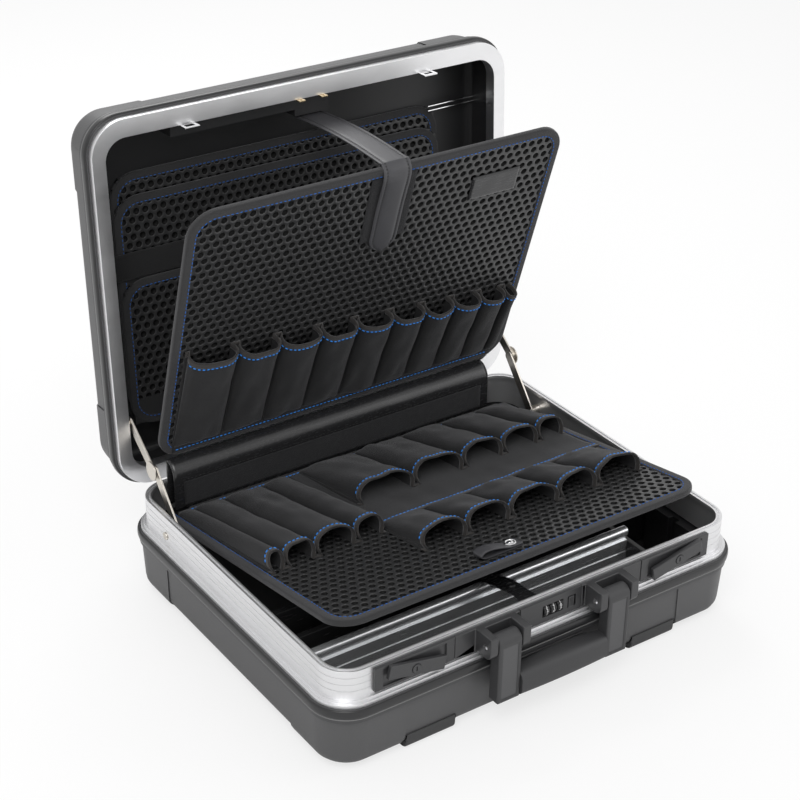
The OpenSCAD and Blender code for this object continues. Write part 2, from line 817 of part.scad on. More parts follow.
module divider_rails() {
    slot = divider_t + 2 * divider_gap;
    low = floor_z + edge_round - shell_wall;
    color("#1d1d1e") on_floor() both_sides() difference() {
        translate([rail_x - rail_t, -rail_len / 2, low]) cube([rail_t, rail_len, -rail_drop - low]);
        for (k = [0:rail_slots - 1])
            translate([rail_x - rail_t - cut, divider_y + k * divider_pitch - slot / 2, low - cut])
                cube([rail_t / 2 + cut, slot, base_depth]);
    }
}

// The aluminium divider's section, with a bead along its top and a recess down its faces
module divider_profile() {
    top = -divider_drop;
    shoulder = top - 2 * bead_r - bead_neck;
    recess = shoulder - divider_face - divider_recess;
    translate([0, top - bead_r]) circle(bead_r);
    translate([-divider_t / 4, shoulder]) square([divider_t / 2, bead_neck + bead_r]);
    difference() {
        translate([-divider_t / 2, floor_z]) square([divider_t, shoulder - floor_z]);
        for (side = [-1, 1])
            translate([side * divider_t / 2 - recess_in, recess]) square([2 * recess_in, divider_recess]);
    }
}

// Trims a divider's ends to the rounded edge of the shell's floor
module trim_ends() {
    low = floor_z + edge_round - shell_wall;
    difference() {
        children();
        both_sides() translate([rail_x - rail_t - 1, -band_d, floor_z - cut])
            cube([band_w, 2 * band_d, low - floor_z + cut]);
    }
}

module divider_front() {
    from = -rail_x + rail_t / 2 + divider_gap;
    color("#c9ccd0") on_floor() trim_ends() translate([0, divider_y, 0])
        along_x(from, cross_x - from) divider_profile();
}

// A plain divider in slot k of the left rail
module plain_divider(k) {
    from = -rail_x + rail_t / 2 + divider_gap;
    t = divider_t - 2;
    color("#1f1f20") on_floor() trim_ends()
        translate([from, divider_y + k * divider_pitch - t / 2, floor_z])
            cube([cross_x - from, t, -rail_drop - floor_z]);
}

module divider_middle() { plain_divider(1); }
module divider_rear() { plain_divider(2); }

// The cross divider closes the right end of the others
module divider_cross() {
    r = edge_round - shell_wall;
    half = band_d / 2 - band_wall - 0.5;
    top = -rail_drop;
    color("#1f1f20") on_floor() along_x(cross_x, cross_t) union() {
        translate([-half, floor_z + r]) square([2 * half, top - floor_z - r]);
        translate([-half + r, floor_z]) square([2 * (half - r), r]);
        for (side = [-1, 1])
            translate([side * (half - r), floor_z + r]) circle(r);
    }
}

// Hinges, with the lid's leaf in the middle of each

module hinge_base_leaves() {
    knuckle = hinge_len / 3 - arm_gap / 2;
    leaf_gap = 2;
    color("#b9bbbe") on_floor() for (side = [-1, 1], end = [-1, 1])
        translate([side * hinge_x + end * (hinge_len - knuckle) / 2, 0, 0]) difference() {
            union() {
                translate([0, hinge_y, hinge_z]) rotate([0, 90, 0])
                    cylinder(r = knuckle_r, h = knuckle, center = true);
                translate([-knuckle / 2, band_d / 2, hinge_z - knuckle_r])
                    cube([knuckle, hinge_back, knuckle_r]);
                translate([-knuckle / 2, band_d / 2, leaf_gap - band_h])
                    cube([knuckle, leaf_t, band_h - rim_t - leaf_gap]);
            }
            hinge_bore(knuckle);
        }
}

module hinge_bore(len) {
    translate([0, hinge_y, hinge_z]) rotate([0, 90, 0])
        cylinder(r = hinge_pin_r + pin_gap, h = len + cut, center = true);
}

module hinge_lid_leaves() {
    knuckle = hinge_len / 3 - arm_gap;
    web = lid_d / 2 - hinge_y + knuckle_r;
    color("#b9bbbe") in_lid() for (side = [-1, 1])
        translate([side * hinge_x, 0, 0]) difference() {
            union() {
                translate([0, hinge_y, hinge_z]) rotate([0, 90, 0])
                    cylinder(r = knuckle_r, h = knuckle, center = true);
                translate([-knuckle / 2, lid_d / 2 - web / 2, hinge_z])
                    cube([knuckle, web / 2, hinge_drop + rim_gap]);
            }
            hinge_bore(knuckle);
        }
}

module hinge_pins() {
    color("#8f9194") on_floor() for (side = [-1, 1])
        translate([side * hinge_x, hinge_y, hinge_z]) rotate([0, 90, 0])
            cylinder(r = hinge_pin_r, h = hinge_len, center = true);
}

// Folding stays. Each has a lower arm on the base and an upper arm on the lid

module stay_arm(len, bore) {
    difference() {
        union() {
            translate([0, -arm_w / 2]) square([len, arm_w]);
            circle(arm_w / 2);
            translate([len, 0]) circle(arm_w / 2);
        }
        circle(bore);
    }
}

// Lays a profile drawn in the case's side view on the plane at x, with thickness t towards the wall
module side_plate(x, t) {
    translate([x, 0, 0]) rotate([90, 0, 90]) linear_extrude(t) children();
}

module stay_rivets_base() {
    head = 1.5;
    collar = 2;
    wall_x = band_w / 2 - band_wall;
    color("#b8aa9c") on_floor() both_sides() translate([0, stay_base_y, -stay_base_drop])
        rotate([0, 90, 0]) {
            translate([0, 0, lower_arm_x]) cylinder(r = rivet_r, h = band_w / 2 - lower_arm_x);
            translate([0, 0, band_w / 2]) cylinder(r = rivet_r + collar / 2, h = head);
            translate([0, 0, lower_arm_x + arm_t + pin_gap])
                cylinder(r = rivet_r + collar, h = wall_x - lower_arm_x - arm_t - pin_gap);
        }
}

module stay_lower(x) {
    color("#b8aa9c") on_floor() mirror([x < 0 ? 1 : 0, 0, 0])
        translate([0, stay_base_y, -stay_base_drop])
            side_plate(lower_arm_x, arm_t) rotate(lower_arm_turn)
                stay_arm(lower_arm_len, rivet_r + pin_gap);
}

module stay_upper(x) {
    color("#b8aa9c") on_floor() mirror([x < 0 ? 1 : 0, 0, 0]) {
        translate([0, stay_lid_y, stay_lid_z])
            side_plate(upper_arm_x, arm_t) rotate(upper_arm_turn)
                stay_arm(upper_arm_len, rivet_r + pin_gap);
        translate([0, knee_y, knee_z]) side_plate(upper_arm_x + arm_t, knee_t) circle(knee_r);
    }
}

module stay_lower_left() { stay_lower(-1); }
module stay_lower_right() { stay_lower(1); }
module stay_upper_left() { stay_upper(-1); }
module stay_upper_right() { stay_upper(1); }

module stay_rivets_lid() {
    color("#b8aa9c") in_lid() both_sides()
        translate([0, stay_lid_closed_y, stay_lid_closed_z]) rotate([0, 90, 0])
            translate([0, 0, upper_arm_x])
                cylinder(r = rivet_r, h = lid_inner_w / 2 + lip_t - upper_arm_x);
}

// Latches

module plate(x, w) {
    translate([x, plate_front, -plate_drop - plate_h]) cube([w, plate_t, plate_h]);
}

module latch_plate(side) {
    rim = 3;
    recess_w = lever_len + 2 * rim;
    recess_h = plate_h - 2 * rim;
    recess_t = plate_t / 2;
    color("#2b2b2c") on_floor() mirror([side < 0 ? 1 : 0, 0, 0]) difference() {
        plate(latch_x, latch_w);
        translate([lever_x - lever_len * lever_share - rim, plate_front - cut, -lever_drop - recess_h / 2])
            cube([recess_w, recess_t + cut, recess_h]);
        lever_pin_bore();
    }
}

module lever_pin_bore() {
    translate([lever_x, front, -lever_drop]) rotate([90, 0, 0])
        cylinder(r = lever_pin_r + pin_gap, h = 4 * plate_t, center = true);
}

module latch_plate_left() { latch_plate(-1); }
module latch_plate_right() { latch_plate(1); }

// The lever turns on a stud that reaches back through its plate
module latch_lever(side) {
    stud = plate_t + rim_gap;
    color("#343436") on_floor() mirror([side < 0 ? 1 : 0, 0, 0])
        translate([lever_x, lever_y, -lever_drop]) rotate([0, -lever_tilt, 0]) {
            difference() {
                translate([-lever_len * lever_share, -lever_t, -lever_h / 2])
                    cube([lever_len, lever_t, lever_h]);
                rotate([90, 0, 0]) translate([0, 0, lever_t / 3])
                    cylinder(r = key_r + pin_gap, h = lever_t);
            }
            rotate([-90, 0, 0]) cylinder(r = lever_pin_r, h = stud - rim_gap / 2);
        }
}

module latch_lever_left() { latch_lever(-1); }
module latch_lever_right() { latch_lever(1); }

module key_cylinder(side) {
    proud = 0.6;
    slot_w = 1.2;
    slot_h = 5;
    color("#1f1f20") on_floor() mirror([side < 0 ? 1 : 0, 0, 0])
        translate([lever_x, lever_y, -lever_drop]) rotate([90, 0, 0]) difference() {
            translate([0, 0, lever_t / 3 + pin_gap]) cylinder(r = key_r, h = lever_t * 2 / 3 + proud);
            translate([-slot_w / 2, -slot_h / 2, lever_t - 1]) cube([slot_w, slot_h, lever_t]);
        }
}

module key_cylinder_left() { key_cylinder(-1); }
module key_cylinder_right() { key_cylinder(1); }

// Combination lock

module lock_plate() {
    box_w = window_w + 2 * lock_wall;
    box_h = window_h + 2 * lock_wall;
    back = lock_deep - plate_t;
    slot_w = slide_w + slide_travel + 2 * slide_gap;
    slot_h = slide_h + 2 * slide_gap;
    color("#2b2b2c") on_floor() difference() {
        union() {
            plate(-lock_x, 2 * lock_x);
            translate([dial_x - box_w / 2, front, dial_z - box_h / 2]) cube([box_w, back, box_h]);
        }
        translate([dial_x - window_w / 2, plate_front - cut, dial_z - window_h / 2])
            cube([window_w, lock_deep + cut - lock_wall, window_h]);
        translate([slide_x - slide_gap, plate_front - cut, dial_z - slot_h / 2])
            cube([slot_w, plate_t, slot_h]);
        axle();
    }
}

module axle() {
    translate([dial_x, dial_y, dial_z]) rotate([0, 90, 0])
        cylinder(r = axle_r, h = window_w + 2 * lock_wall - 1, center = true);
}

module dial_axle() {
    color("#9a9b9d") on_floor() axle();
}

module dial(k) {
    notches = 10;
    color("#1b1b1c") on_floor() translate([dial_x + (k - 2) * dial_pitch, dial_y, dial_z])
        rotate([0, 90, 0]) difference() {
            cylinder(r = dial_r, h = dial_w, center = true);
            cylinder(r = axle_r + pin_gap, h = dial_w + cut, center = true);
            for (i = [0:notches - 1])
                rotate([0, 0, (i + 0.5) * 360 / notches]) translate([dial_r, 0, 0])
                    cylinder(r = 0.5, h = dial_w + cut, center = true, $fn = 16);
        }
}

module dial_1() { dial(1); }
module dial_2() { dial(2); }
module dial_3() { dial(3); }

module lock_slide() {
    groove = 0.6;
    color("#3a3a3c") on_floor() translate([slide_x, plate_front - 1, dial_z - slide_h / 2]) difference() {
        cube([slide_w, plate_t - slide_gap, slide_h]);
        for (k = [1:3])
            translate([k * slide_w / 4 - groove / 2, -cut, groove * 2])
                cube([groove, cut + groove, slide_h - groove * 4]);
    }
}

// Handle

module cheek_profile() {
    r = 8;
    back = plate_front;
    reach = cheek_out;
    difference() {
        translate([back - reach, -plate_drop - plate_h + 1]) square([reach, plate_h - 1]);
        translate([back - reach, -plate_drop - plate_h + 1]) square(r);
    }
    translate([back - reach + r, -plate_drop - plate_h + 1 + r]) circle(r);
}

module handle_bracket(side) {
    plate_from = lock_x + 0.4;
    inner = bracket_x - bracket_w / 2;
    back_t = 3;
    color("#2f2f31") on_floor() mirror([side < 0 ? 1 : 0, 0, 0]) difference() {
        union() {
            plate(plate_from, latch_x - 0.4 - plate_from);
            along_x(inner, cheek_t) cheek_profile();
            along_x(inner + bracket_w - cheek_t, cheek_t) cheek_profile();
            translate([inner, plate_front - back_t, -plate_drop - plate_h + 1])
                cube([bracket_w, back_t, plate_h - 1]);
        }
        translate([bracket_x, handle_y, -handle_drop]) rotate([0, 90, 0])
            cylinder(r = handle_pin_r, h = bracket_w + cut, center = true);
    }
}

module handle_bracket_left() { handle_bracket(-1); }
module handle_bracket_right() { handle_bracket(1); }

module handle_pins() {
    short = 1;
    color("#8f9194") on_floor() both_sides()
        translate([bracket_x, handle_y, -handle_drop]) rotate([0, 90, 0])
            cylinder(r = handle_pin_r, h = bracket_w - 2 * short, center = true);
}

module arm_profile() {
    difference() {
        union() {
            translate([arm_front, -handle_drop - handle_len]) square([handle_arm_t, handle_len]);
            translate([handle_y, -handle_drop]) circle(arm_top_r);
        }
        translate([handle_y, -handle_drop]) circle(handle_pin_r + pin_gap);
    }
}

module handle_arms() {
    color("#3c3c3e") on_floor() both_sides()
        along_x(bracket_x - arm_wide / 2, arm_wide) arm_profile();
}

module handle_grip() {
    half = bracket_x - arm_wide / 2;
    low = -handle_drop - handle_len;
    corner = 9;
    color("#3c3c3e") on_floor() hull()
        for (station = [[-half, 0], [-half / 2, grip_swell], [half / 2, grip_swell], [half - 0.02, 0]])
            along_x(station[0], 0.02) translate([grip_y, low + grip_h / 2])
                round_plan(grip_t + 2 * station[1], grip_h + station[1], corner);
}

// The leather spine between the boards, and the tongue that closes over the front divider

module spine() {
    color("#1a1a1b") on_floor() along_x(-spine_w / 2, spine_w - spine_short) {
        difference() {
            spine_outline(0);
            spine_outline(spine_t);
        }
        spine_flange();
    }
}

// The spine's section: upright towards the lower board and round at its shoulder.
// It is open underneath, where the lower board's hem reaches in
module spine_outline(inset) {
    low = spine_low - (inset > 0 ? cut : 0);
    shoulder_y = spine_face_y + spine_r;
    intersection() {
        translate([spine_face_y + inset, low])
            square([spine_back - spine_face_y - 2 * inset, spine_top - inset - low]);
        union() {
            translate([spine_face_y, low]) square([2 * spine_r, spine_top - spine_r - low]);
            translate([shoulder_y, low]) square([spine_r, spine_top - low]);
            translate([shoulder_y, spine_top - spine_r]) circle(spine_r - inset);
        }
    }
}

// The flange that holds the spine to the band, under the band's lip
module spine_flange() {
    wall_y = band_d / 2 - band_wall;
    translate([spine_back - cut / 2, spine_low])
        square([wall_y - spine_back + cut / 2, -rim_t - spine_low]);
}

// Height of the tongue's underside at a share t of its reach. Its tip lies over the front divider
function tongue_z(t) = -tongue_drop + tongue_arch * sin(180 * t)
    - (divider_drop - divider_gap - tongue_drop) * t;

module closing_tongue() {
    root_y = front + band_wall;
    n = 12;
    stud_h = 2;
    color("#161617") on_floor() {
        tongue_strip(root_y, n);
        translate([tongue_x, root_y + tongue_reach * stud_at, tongue_z(stud_at) + tongue_t / 2])
            cylinder(r = stud_r, h = tongue_t / 2 + stud_h);
    }
}

module tongue_strip(root_y, n) {
    intersection() {
        along_x(tongue_x - tongue_w / 2, tongue_w) polygon(concat(
            [for (k = [0:n]) [root_y + tongue_reach * k / n, tongue_z(k / n) + tongue_t]],
            [for (k = [n:-1:0]) [root_y + tongue_reach * k / n, tongue_z(k / n)]]));
        translate([tongue_x, 0, -rim_z]) linear_extrude(2 * rim_z) union() {
            translate([0, root_y + tongue_reach - tongue_w / 2]) circle(tongue_w / 2);
            translate([-tongue_w / 2, root_y - cut])
                square([tongue_w, tongue_reach - tongue_w / 2 + cut]);
        }
    }
}

// Lid, drawn closed

module lid_shell() {
    low = lid_frame_h + rim_gap;
    color("#4a4a4c") in_lid() {
        translate([0, 0, low]) linear_extrude(belt_h) difference() {
            round_plan(belt_w, belt_d, belt_r);
            round_plan(shell_w - 2 * shell_wall, shell_d - 2 * shell_wall, shell_r - shell_wall);
        }
        difference() {
            union() {
                tray(shell_w, shell_d, shell_r, low + belt_h, lid_depth, draft, edge_round, 0);
                intersection() {
                    tray(shell_w, shell_d, shell_r, low + belt_h, lid_depth, draft, edge_round, guard_out);
                    corner_blocks(shell_w, shell_d, low + belt_h, lid_depth + guard_out);
                }
            }
            tray(shell_w - 2 * shell_wall, shell_d - 2 * shell_wall, shell_r - shell_wall,
                low + belt_h - 0.01, lid_depth - shell_wall, draft, edge_round - shell_wall, 0);
        }
    }
}

module lid_frame() {
    color("#d9d9da") in_lid() difference() {
        union() {
            translate([0, 0, rim_gap]) linear_extrude(lid_face_t) difference() {
                round_plan(lid_w, lid_d, lid_r);
                round_plan(lid_inner_w, lid_inner_d, lid_inner_r);
            }
            translate([0, 0, rim_gap]) linear_extrude(lid_frame_h)
                round_ring(lid_w, lid_d, lid_r, band_wall);
            translate([0, 0, rim_gap]) linear_extrude(lid_lip_h) difference() {
                round_plan(lid_inner_w + 2 * lip_t, lid_inner_d + 2 * lip_t, lid_inner_r + lip_t);
                round_plan(lid_inner_w, lid_inner_d, lid_inner_r);
            }
        }
        for (x = [-1, 1])
            translate([x * lid_inner_w / 2, stay_lid_closed_y, stay_lid_closed_z]) rotate([0, 90, 0])
                cylinder(r = rivet_r, h = 4 * lip_t, center = true);
    }
}

module lid_liner() {
    gap = liner_gap;
    w = shell_w - 2 * shell_wall - 2 * gap;
    d = shell_d - 2 * shell_wall - 2 * gap;
    r = shell_r - shell_wall - gap;
    low = boss_low;
    high = lid_depth - shell_wall - gap;
    edge = edge_round - shell_wall;
    color("#151516") in_lid() {
        difference() {
            tray(w, d, r, low, high, draft, edge, 0);
            tray(w - 2 * liner_t, d - 2 * liner_t, r - liner_t, low - 0.01, high - liner_t,
                draft, edge - liner_t, 0);
        }
        liner_boss(strap_x - strap_w / 2 - boss_margin, strap_x + strap_w / 2 + boss_margin,
            strap_boss);
        liner_boss(-ledge_len, strap_x - strap_w / 2 - boss_margin, ledge_in);
    }
}

// A moulded step in the lining, from its free end's wall to a distance inwards
module liner_boss(from, to, reach) {
    step = edge_round;
    sunk = 0.2;
    translate([from, boss_wall, boss_low])
        cube([to - from, reach, lid_depth - shell_wall - step - boss_low]);
    translate([from, boss_wall + step, boss_low])
        cube([to - from, reach - step, lid_ceiling + sunk - boss_low]);
}

// The boards in the lid lie against its lining, with the dark band across them

module lid_board(top, low, height) {
    len = low - top;
    translate([-lid_board_x, (top + low) / 2, height]) linear_extrude(lid_board_t)
        round_plan(lid_board_w, len, board_r);
}

module lid_board_rear() {
    color("#232324") in_lid() lid_board(lid_top + lid_board_top, lid_board_low, lid_board_z);
}

module lid_board_front() {
    color("#232324") in_lid()
        lid_board(lid_top + lid_board_top + lid_board_step, lid_board_low,
            lid_board_z - lid_board_t - lid_board_gap);
}

module lid_pocket_board() {
    below = 2;
    longer = 10;
    color("#1c1c1d") in_lid()
        lid_board(lid_band_h + below - lid_band_y, lid_board_low + longer,
            lid_board_z - 2 * (lid_board_t + lid_board_gap));
}

module lid_band() {
    w = lid_board_w + 16;
    t = 1.5;
    z = lid_board_z - lid_board_t - lid_board_gap - t - liner_gap;
    color("#101011") in_lid() translate([-lid_board_x - w / 2, -lid_band_y, z]) cube([w, lid_band_h, t]);
}

module lid_wire() {
    wire_r = 0.9;
    wire_end = 0.3;
    apart = 5;
    from = lid_board_w / 2 - lid_board_x - 14;
    to = (shell_w - draft) / 2 - shell_wall - liner_gap - liner_t - wire_end;
    y = lid_top + lid_board_top + 6;
    z = lid_board_z - lid_board_t - lid_board_gap - wire_r - wire_end;
    color("#d0d2d4") in_lid() for (k = [0, 1])
        translate([from, y - k * apart, z]) rotate([0, 90, 0])
            cylinder(r = wire_r, h = to - from, $fn = 24);
}

module latch_hooks() {
    t = 1.6;
    color("#d8dadc") in_lid() both_sides()
        translate([hook_x - hook_w / 2, -lid_inner_d / 2, rim_gap - hook_drop]) difference() {
            cube([hook_w, t, hook_drop + lid_lip_h]);
            translate([hook_wire, -cut, hook_wire])
                cube([hook_w - 2 * hook_wire, t + 2 * cut, hook_drop - hook_wire]);
        }
}

module lock_hooks() {
    w = 7;
    drop = 5;
    t = 1.6;
    y = -lid_inner_d / 2;
    apart = 26;
    color("#c9b48e") in_lid() for (x = [-apart / 2, apart / 2])
        translate([x - w / 2, y, rim_gap - drop]) difference() {
            cube([w, t, drop + lid_lip_h]);
            translate([w / 2, -cut, drop / 2]) rotate([-90, 0, 0])
                cylinder(r = w / 4.5, h = t + 2 * cut);
        }
}

// Strap from the lid over the upper board

function strap_path(t) = [
    strap_root[0] + (strap_bend[0] - strap_root[0]) * t,
    strap_root[1] + (strap_bend[1] - strap_root[1]) * t + strap_arch * sin(180 * t)];

module strap_span() {
    n = 14;
    color("#38383b") on_floor() along_x(strap_x - strap_w / 2, strap_w) polygon(concat(
        [for (k = [0:n]) strap_path(k / n) + [0, strap_t / 2]],
        [for (k = [n:-1:0]) strap_path(k / n) - [0, strap_t / 2]]));
}

module upper_trim() {
    lie = board_t / 2 + binding_t;
    start = upper_len - strap_drop;
    past = 4;
    clear = binding_t + spine_gap;
    color("#1b1b1c") on_upper_board() {
        translate([strap_x, start + strap_w / 2, lie]) cylinder(r = strap_w / 2, h = strap_t);
        translate([strap_x - strap_w / 2, start + strap_w / 2, lie])
            cube([strap_w, strap_drop - strap_w / 2 + past, strap_t]);
        translate([strap_x - strap_w / 2, upper_len + clear, -lie])
            cube([strap_w, past - clear, 2 * lie]);
        translate([strap_x - strip_w / 2, upper_len - binding_w - strip_h, board_t / 2])
            cube([strip_w, strip_h, binding_t]);
        translate([patch_x, patch_y, board_t / 2]) cube([patch_w, patch_h, patch_t]);
    }
}

// Tool boards

module upper_board() {
    color("#2a2a2b") on_upper_board() board_plate(upper_len, 0);
}

module upper_binding() {
    color("#333335") on_upper_board() board_binding(upper_len, 0);
}

// A run of the upper pockets, from pocket number k on
module upper_pocket_run(k, count) {
    widths = [for (i = [k:k + count - 1]) upper_pocket_w[i]];
    color("#242425") on_upper_board()
        pocket_row(widths, left_edge(upper_pocket_w, upper_pocket_x, k), upper_start, upper_mouth,
            upper_pocket_h, upper_slope);
}

module upper_pockets_left() { upper_pocket_run(0, upper_split); }
module upper_pockets_right() { upper_pocket_run(upper_split, len(upper_pocket_w) - upper_split); }

module lower_hem() {
    color("#242425") on_lower_board() translate([-board_w / 2 + board_r, 0, -board_t / 2])
        cube([board_w - 2 * board_r, hem_len - hem_gap, board_t]);
}

module lower_board() {
    color("#2a2a2b") on_lower_board() board_plate(lower_len, hem_len);
}

module lower_binding() {
    color("#333335") on_lower_board() board_binding(lower_len, hem_len);
}

module lower_pocket_row(widths, start, from, to) {
    color("#242425") on_lower_board() pocket_row(widths, start, from, to, lower_pocket_h);
}

module lower_pockets_left() {
    lower_pocket_row(long_pocket_w, long_pocket_x, long_start, long_mouth);
}

module lower_pockets_middle() {
    lower_pocket_row(middle_pocket_w, middle_pocket_x, middle_start, middle_mouth);
}

module lower_pockets_short() {
    lower_pocket_row(short_pocket_w, short_pocket_x, short_seam, short_mouth);
}

module loop_strap() {
    color("#1f1f20") on_lower_board() {
        translate([loop_x, loop_y, board_t / 2]) cube([loop_len, loop_w, loop_t]);
        translate([loop_x + loop_len - loop_stud, loop_y + loop_w / 2, board_t / 2])
            cylinder(r = loop_stud_r, h = 2 * loop_t);
    }
}

base_shell();
base_band();
feet_front();
feet_rear();
divider_rails();
divider_front();
divider_middle();
divider_rear();
divider_cross();
hinge_base_leaves();
hinge_pins();
stay_rivets_base();
latch_plate_left();
latch_plate_right();
lock_plate();
dial_axle();
handle_bracket_left();
handle_bracket_right();
handle_pins();
spine();
closing_tongue();
lid_shell();
lid_frame();
lid_liner();
hinge_lid_leaves();
stay_rivets_lid();
lid_board_rear();
lid_board_front();
lid_pocket_board();
lid_band();
lid_wire();
latch_hooks();
lock_hooks();
strap_span();
stay_lower_left();
stay_lower_right();
stay_upper_left();
stay_upper_right();
latch_lever_left();
latch_lever_right();
key_cylinder_left();
key_cylinder_right();
dial_1();
dial_2();
dial_3();
lock_slide();
handle_arms();
handle_grip();
upper_board();
upper_binding();
upper_pockets_left();
upper_pockets_right();
upper_trim();
lower_hem();
lower_board();
lower_binding();
lower_pockets_left();
lower_pockets_middle();
lower_pockets_short();
loop_strap();
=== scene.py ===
# %% [markdown]
# # A hard tool case, open
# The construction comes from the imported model: every shell, hinge and lever is already
# at its real size and place. This script gives the case its looks. It rounds the hard
# edges, sews the pockets, punches the boards full of dimples, and paints each piece with
# a procedural finish. All shapes are worked out in millimetres from the case's rim.

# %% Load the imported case
import json
import math

import bmesh
import bpy
from mathutils import Matrix, Vector, noise


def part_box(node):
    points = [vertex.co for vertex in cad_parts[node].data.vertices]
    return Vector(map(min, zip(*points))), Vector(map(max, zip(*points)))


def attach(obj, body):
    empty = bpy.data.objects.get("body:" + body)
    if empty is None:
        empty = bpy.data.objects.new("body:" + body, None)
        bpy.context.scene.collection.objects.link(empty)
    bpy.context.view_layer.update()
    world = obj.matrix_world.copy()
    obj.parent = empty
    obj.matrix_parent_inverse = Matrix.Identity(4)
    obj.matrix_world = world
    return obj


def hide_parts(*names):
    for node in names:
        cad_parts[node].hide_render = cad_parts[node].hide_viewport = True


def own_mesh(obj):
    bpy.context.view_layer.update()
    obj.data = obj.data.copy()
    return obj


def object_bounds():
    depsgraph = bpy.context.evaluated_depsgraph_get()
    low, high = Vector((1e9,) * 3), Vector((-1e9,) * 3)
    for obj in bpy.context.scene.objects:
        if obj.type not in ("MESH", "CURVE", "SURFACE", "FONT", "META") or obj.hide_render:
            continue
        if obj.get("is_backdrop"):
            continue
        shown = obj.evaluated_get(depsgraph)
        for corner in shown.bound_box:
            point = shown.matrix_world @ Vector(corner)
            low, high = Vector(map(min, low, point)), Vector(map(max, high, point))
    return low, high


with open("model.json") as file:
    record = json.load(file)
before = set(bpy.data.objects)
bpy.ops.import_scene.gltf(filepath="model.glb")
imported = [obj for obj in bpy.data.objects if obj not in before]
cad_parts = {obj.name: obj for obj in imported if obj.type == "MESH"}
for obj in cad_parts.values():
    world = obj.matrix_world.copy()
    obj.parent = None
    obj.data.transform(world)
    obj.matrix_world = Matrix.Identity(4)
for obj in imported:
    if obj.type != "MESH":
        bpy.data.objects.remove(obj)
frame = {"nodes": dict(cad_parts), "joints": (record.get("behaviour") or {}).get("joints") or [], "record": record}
CAD_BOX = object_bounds()
NODES = frame["nodes"]
JOINTS = {joint["name"]: joint for joint in frame["joints"]}

# %% [markdown]
# ## Frames of reference
# People who build such cases measure from the rim: heights from its top face, depths from
# its middle. Each tool board has a frame of its own too, with x across it, y along it from
# its hem, and z out of its pocket side. A matrix for each takes millimetres to the scene.

# %% The rim's frame, the lid's frame and the boards' frames
MM = 0.001
BAND_LOW, BAND_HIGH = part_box("base_band")
RIM = Vector((0, (BAND_LOW.y + BAND_HIGH.y) / 2, BAND_HIGH.z))
OPEN_ANGLE = math.radians(JOINTS["lid_hinge"]["range_deg"][1])
UPPER_LEAN = math.radians(90 - JOINTS["upper_pallet_hinge"]["range_deg"][1])
CLOSED_TILT = 4
LOWER_TILT = math.radians(CLOSED_TILT + JOINTS["pallet_press"]["range_deg"][1])
HINGE = Vector((0, 192, -8))
UPPER_ROOT = (0, 176, 33)
LOWER_ROOT = (-5, 160, -24)


def frame_of(origin, along, out):
    """Takes x, y and z in millimetres to the scene. along and out are the y and z directions."""
    turn = Matrix((Vector((1, 0, 0)), along, out)).transposed().to_4x4()
    return Matrix.Translation(RIM + Vector(origin) * MM) @ turn @ Matrix.Scale(MM, 4)


RIM_FRAME = frame_of((0, 0, 0), Vector((0, 1, 0)), Vector((0, 0, 1)))
LID_FRAME = (RIM_FRAME @ Matrix.Translation(HINGE) @ Matrix.Rotation(-OPEN_ANGLE, 4, "X")
    @ Matrix.Translation(-HINGE))
UPPER_FRAME = frame_of(UPPER_ROOT, Vector((0, -math.sin(UPPER_LEAN), math.cos(UPPER_LEAN))),
    Vector((0, -math.cos(UPPER_LEAN), -math.sin(UPPER_LEAN))))
LOWER_FRAME = frame_of(LOWER_ROOT, Vector((0, -math.cos(LOWER_TILT), math.sin(LOWER_TILT))),
    Vector((0, math.sin(LOWER_TILT), math.cos(LOWER_TILT))))
print("upper board leans", round(math.degrees(UPPER_LEAN), 1), "degrees")

# %% [markdown]
# ## Camera, light and floor
# The photograph was taken from the front left and above, with a short telephoto lens. The
# light is a soft studio tent: a pale world, one broad lamp over the left shoulder, a weaker
# one from the right and a strip behind. The floor is white, and keeps the case's shadow.

# %% Camera
CAMERA_TURN = math.radians(-35.07)
CAMERA_RISE = math.radians(29.28)
CAMERA_ROLL = math.radians(0.95)
CAMERA_PLACE = Vector((-923.55, -1256.93, 991.53))
LENS_MM = 83.49

back = Vector((math.sin(CAMERA_TURN) * math.cos(CAMERA_RISE),
    -math.cos(CAMERA_TURN) * math.cos(CAMERA_RISE), math.sin(CAMERA_RISE)))
right = (-back).cross(Vector((0, 0, 1))).normalized()
up = back.cross(right)
lens = bpy.data.cameras.new("camera")
lens.lens = LENS_MM
lens.sensor_width = 36
lens.clip_start = 0.05
camera = bpy.data.objects.new("camera", lens)
turn = Matrix((right, up, back)).transposed().to_4x4() @ Matrix.Rotation(CAMERA_ROLL, 4, "Z")
camera.matrix_world = Matrix.Translation(RIM + CAMERA_PLACE * MM) @ turn
bpy.context.scene.collection.objects.link(camera)
bpy.context.scene.camera = camera

# %% Lamps and world
bpy.context.scene.view_settings.view_transform = "Standard"


def lamp(name, place, aim, size, watts):
    """A square area lamp at place, turned to aim."""
    light = bpy.data.lights.new(name, "AREA")
    light.size = size
    light.energy = watts
    holder = bpy.data.objects.new(name, light)
    holder.location = place
    holder.rotation_euler = (Vector(place) - Vector(aim)).to_track_quat("Z", "Y").to_euler()
    bpy.context.scene.collection.objects.link(holder)


MIDDLE = (0, 0, 0.15)
TENT_LIGHT = 0.62
lamp("key", (-1.1, -1.2, 2.1), MIDDLE, 1.4, 24)
lamp("fill", (1.9, -1.4, 1.1), MIDDLE, 1.6, 9)
lamp("strip", (0.3, 1.5, 1.7), MIDDLE, 1.2, 16)


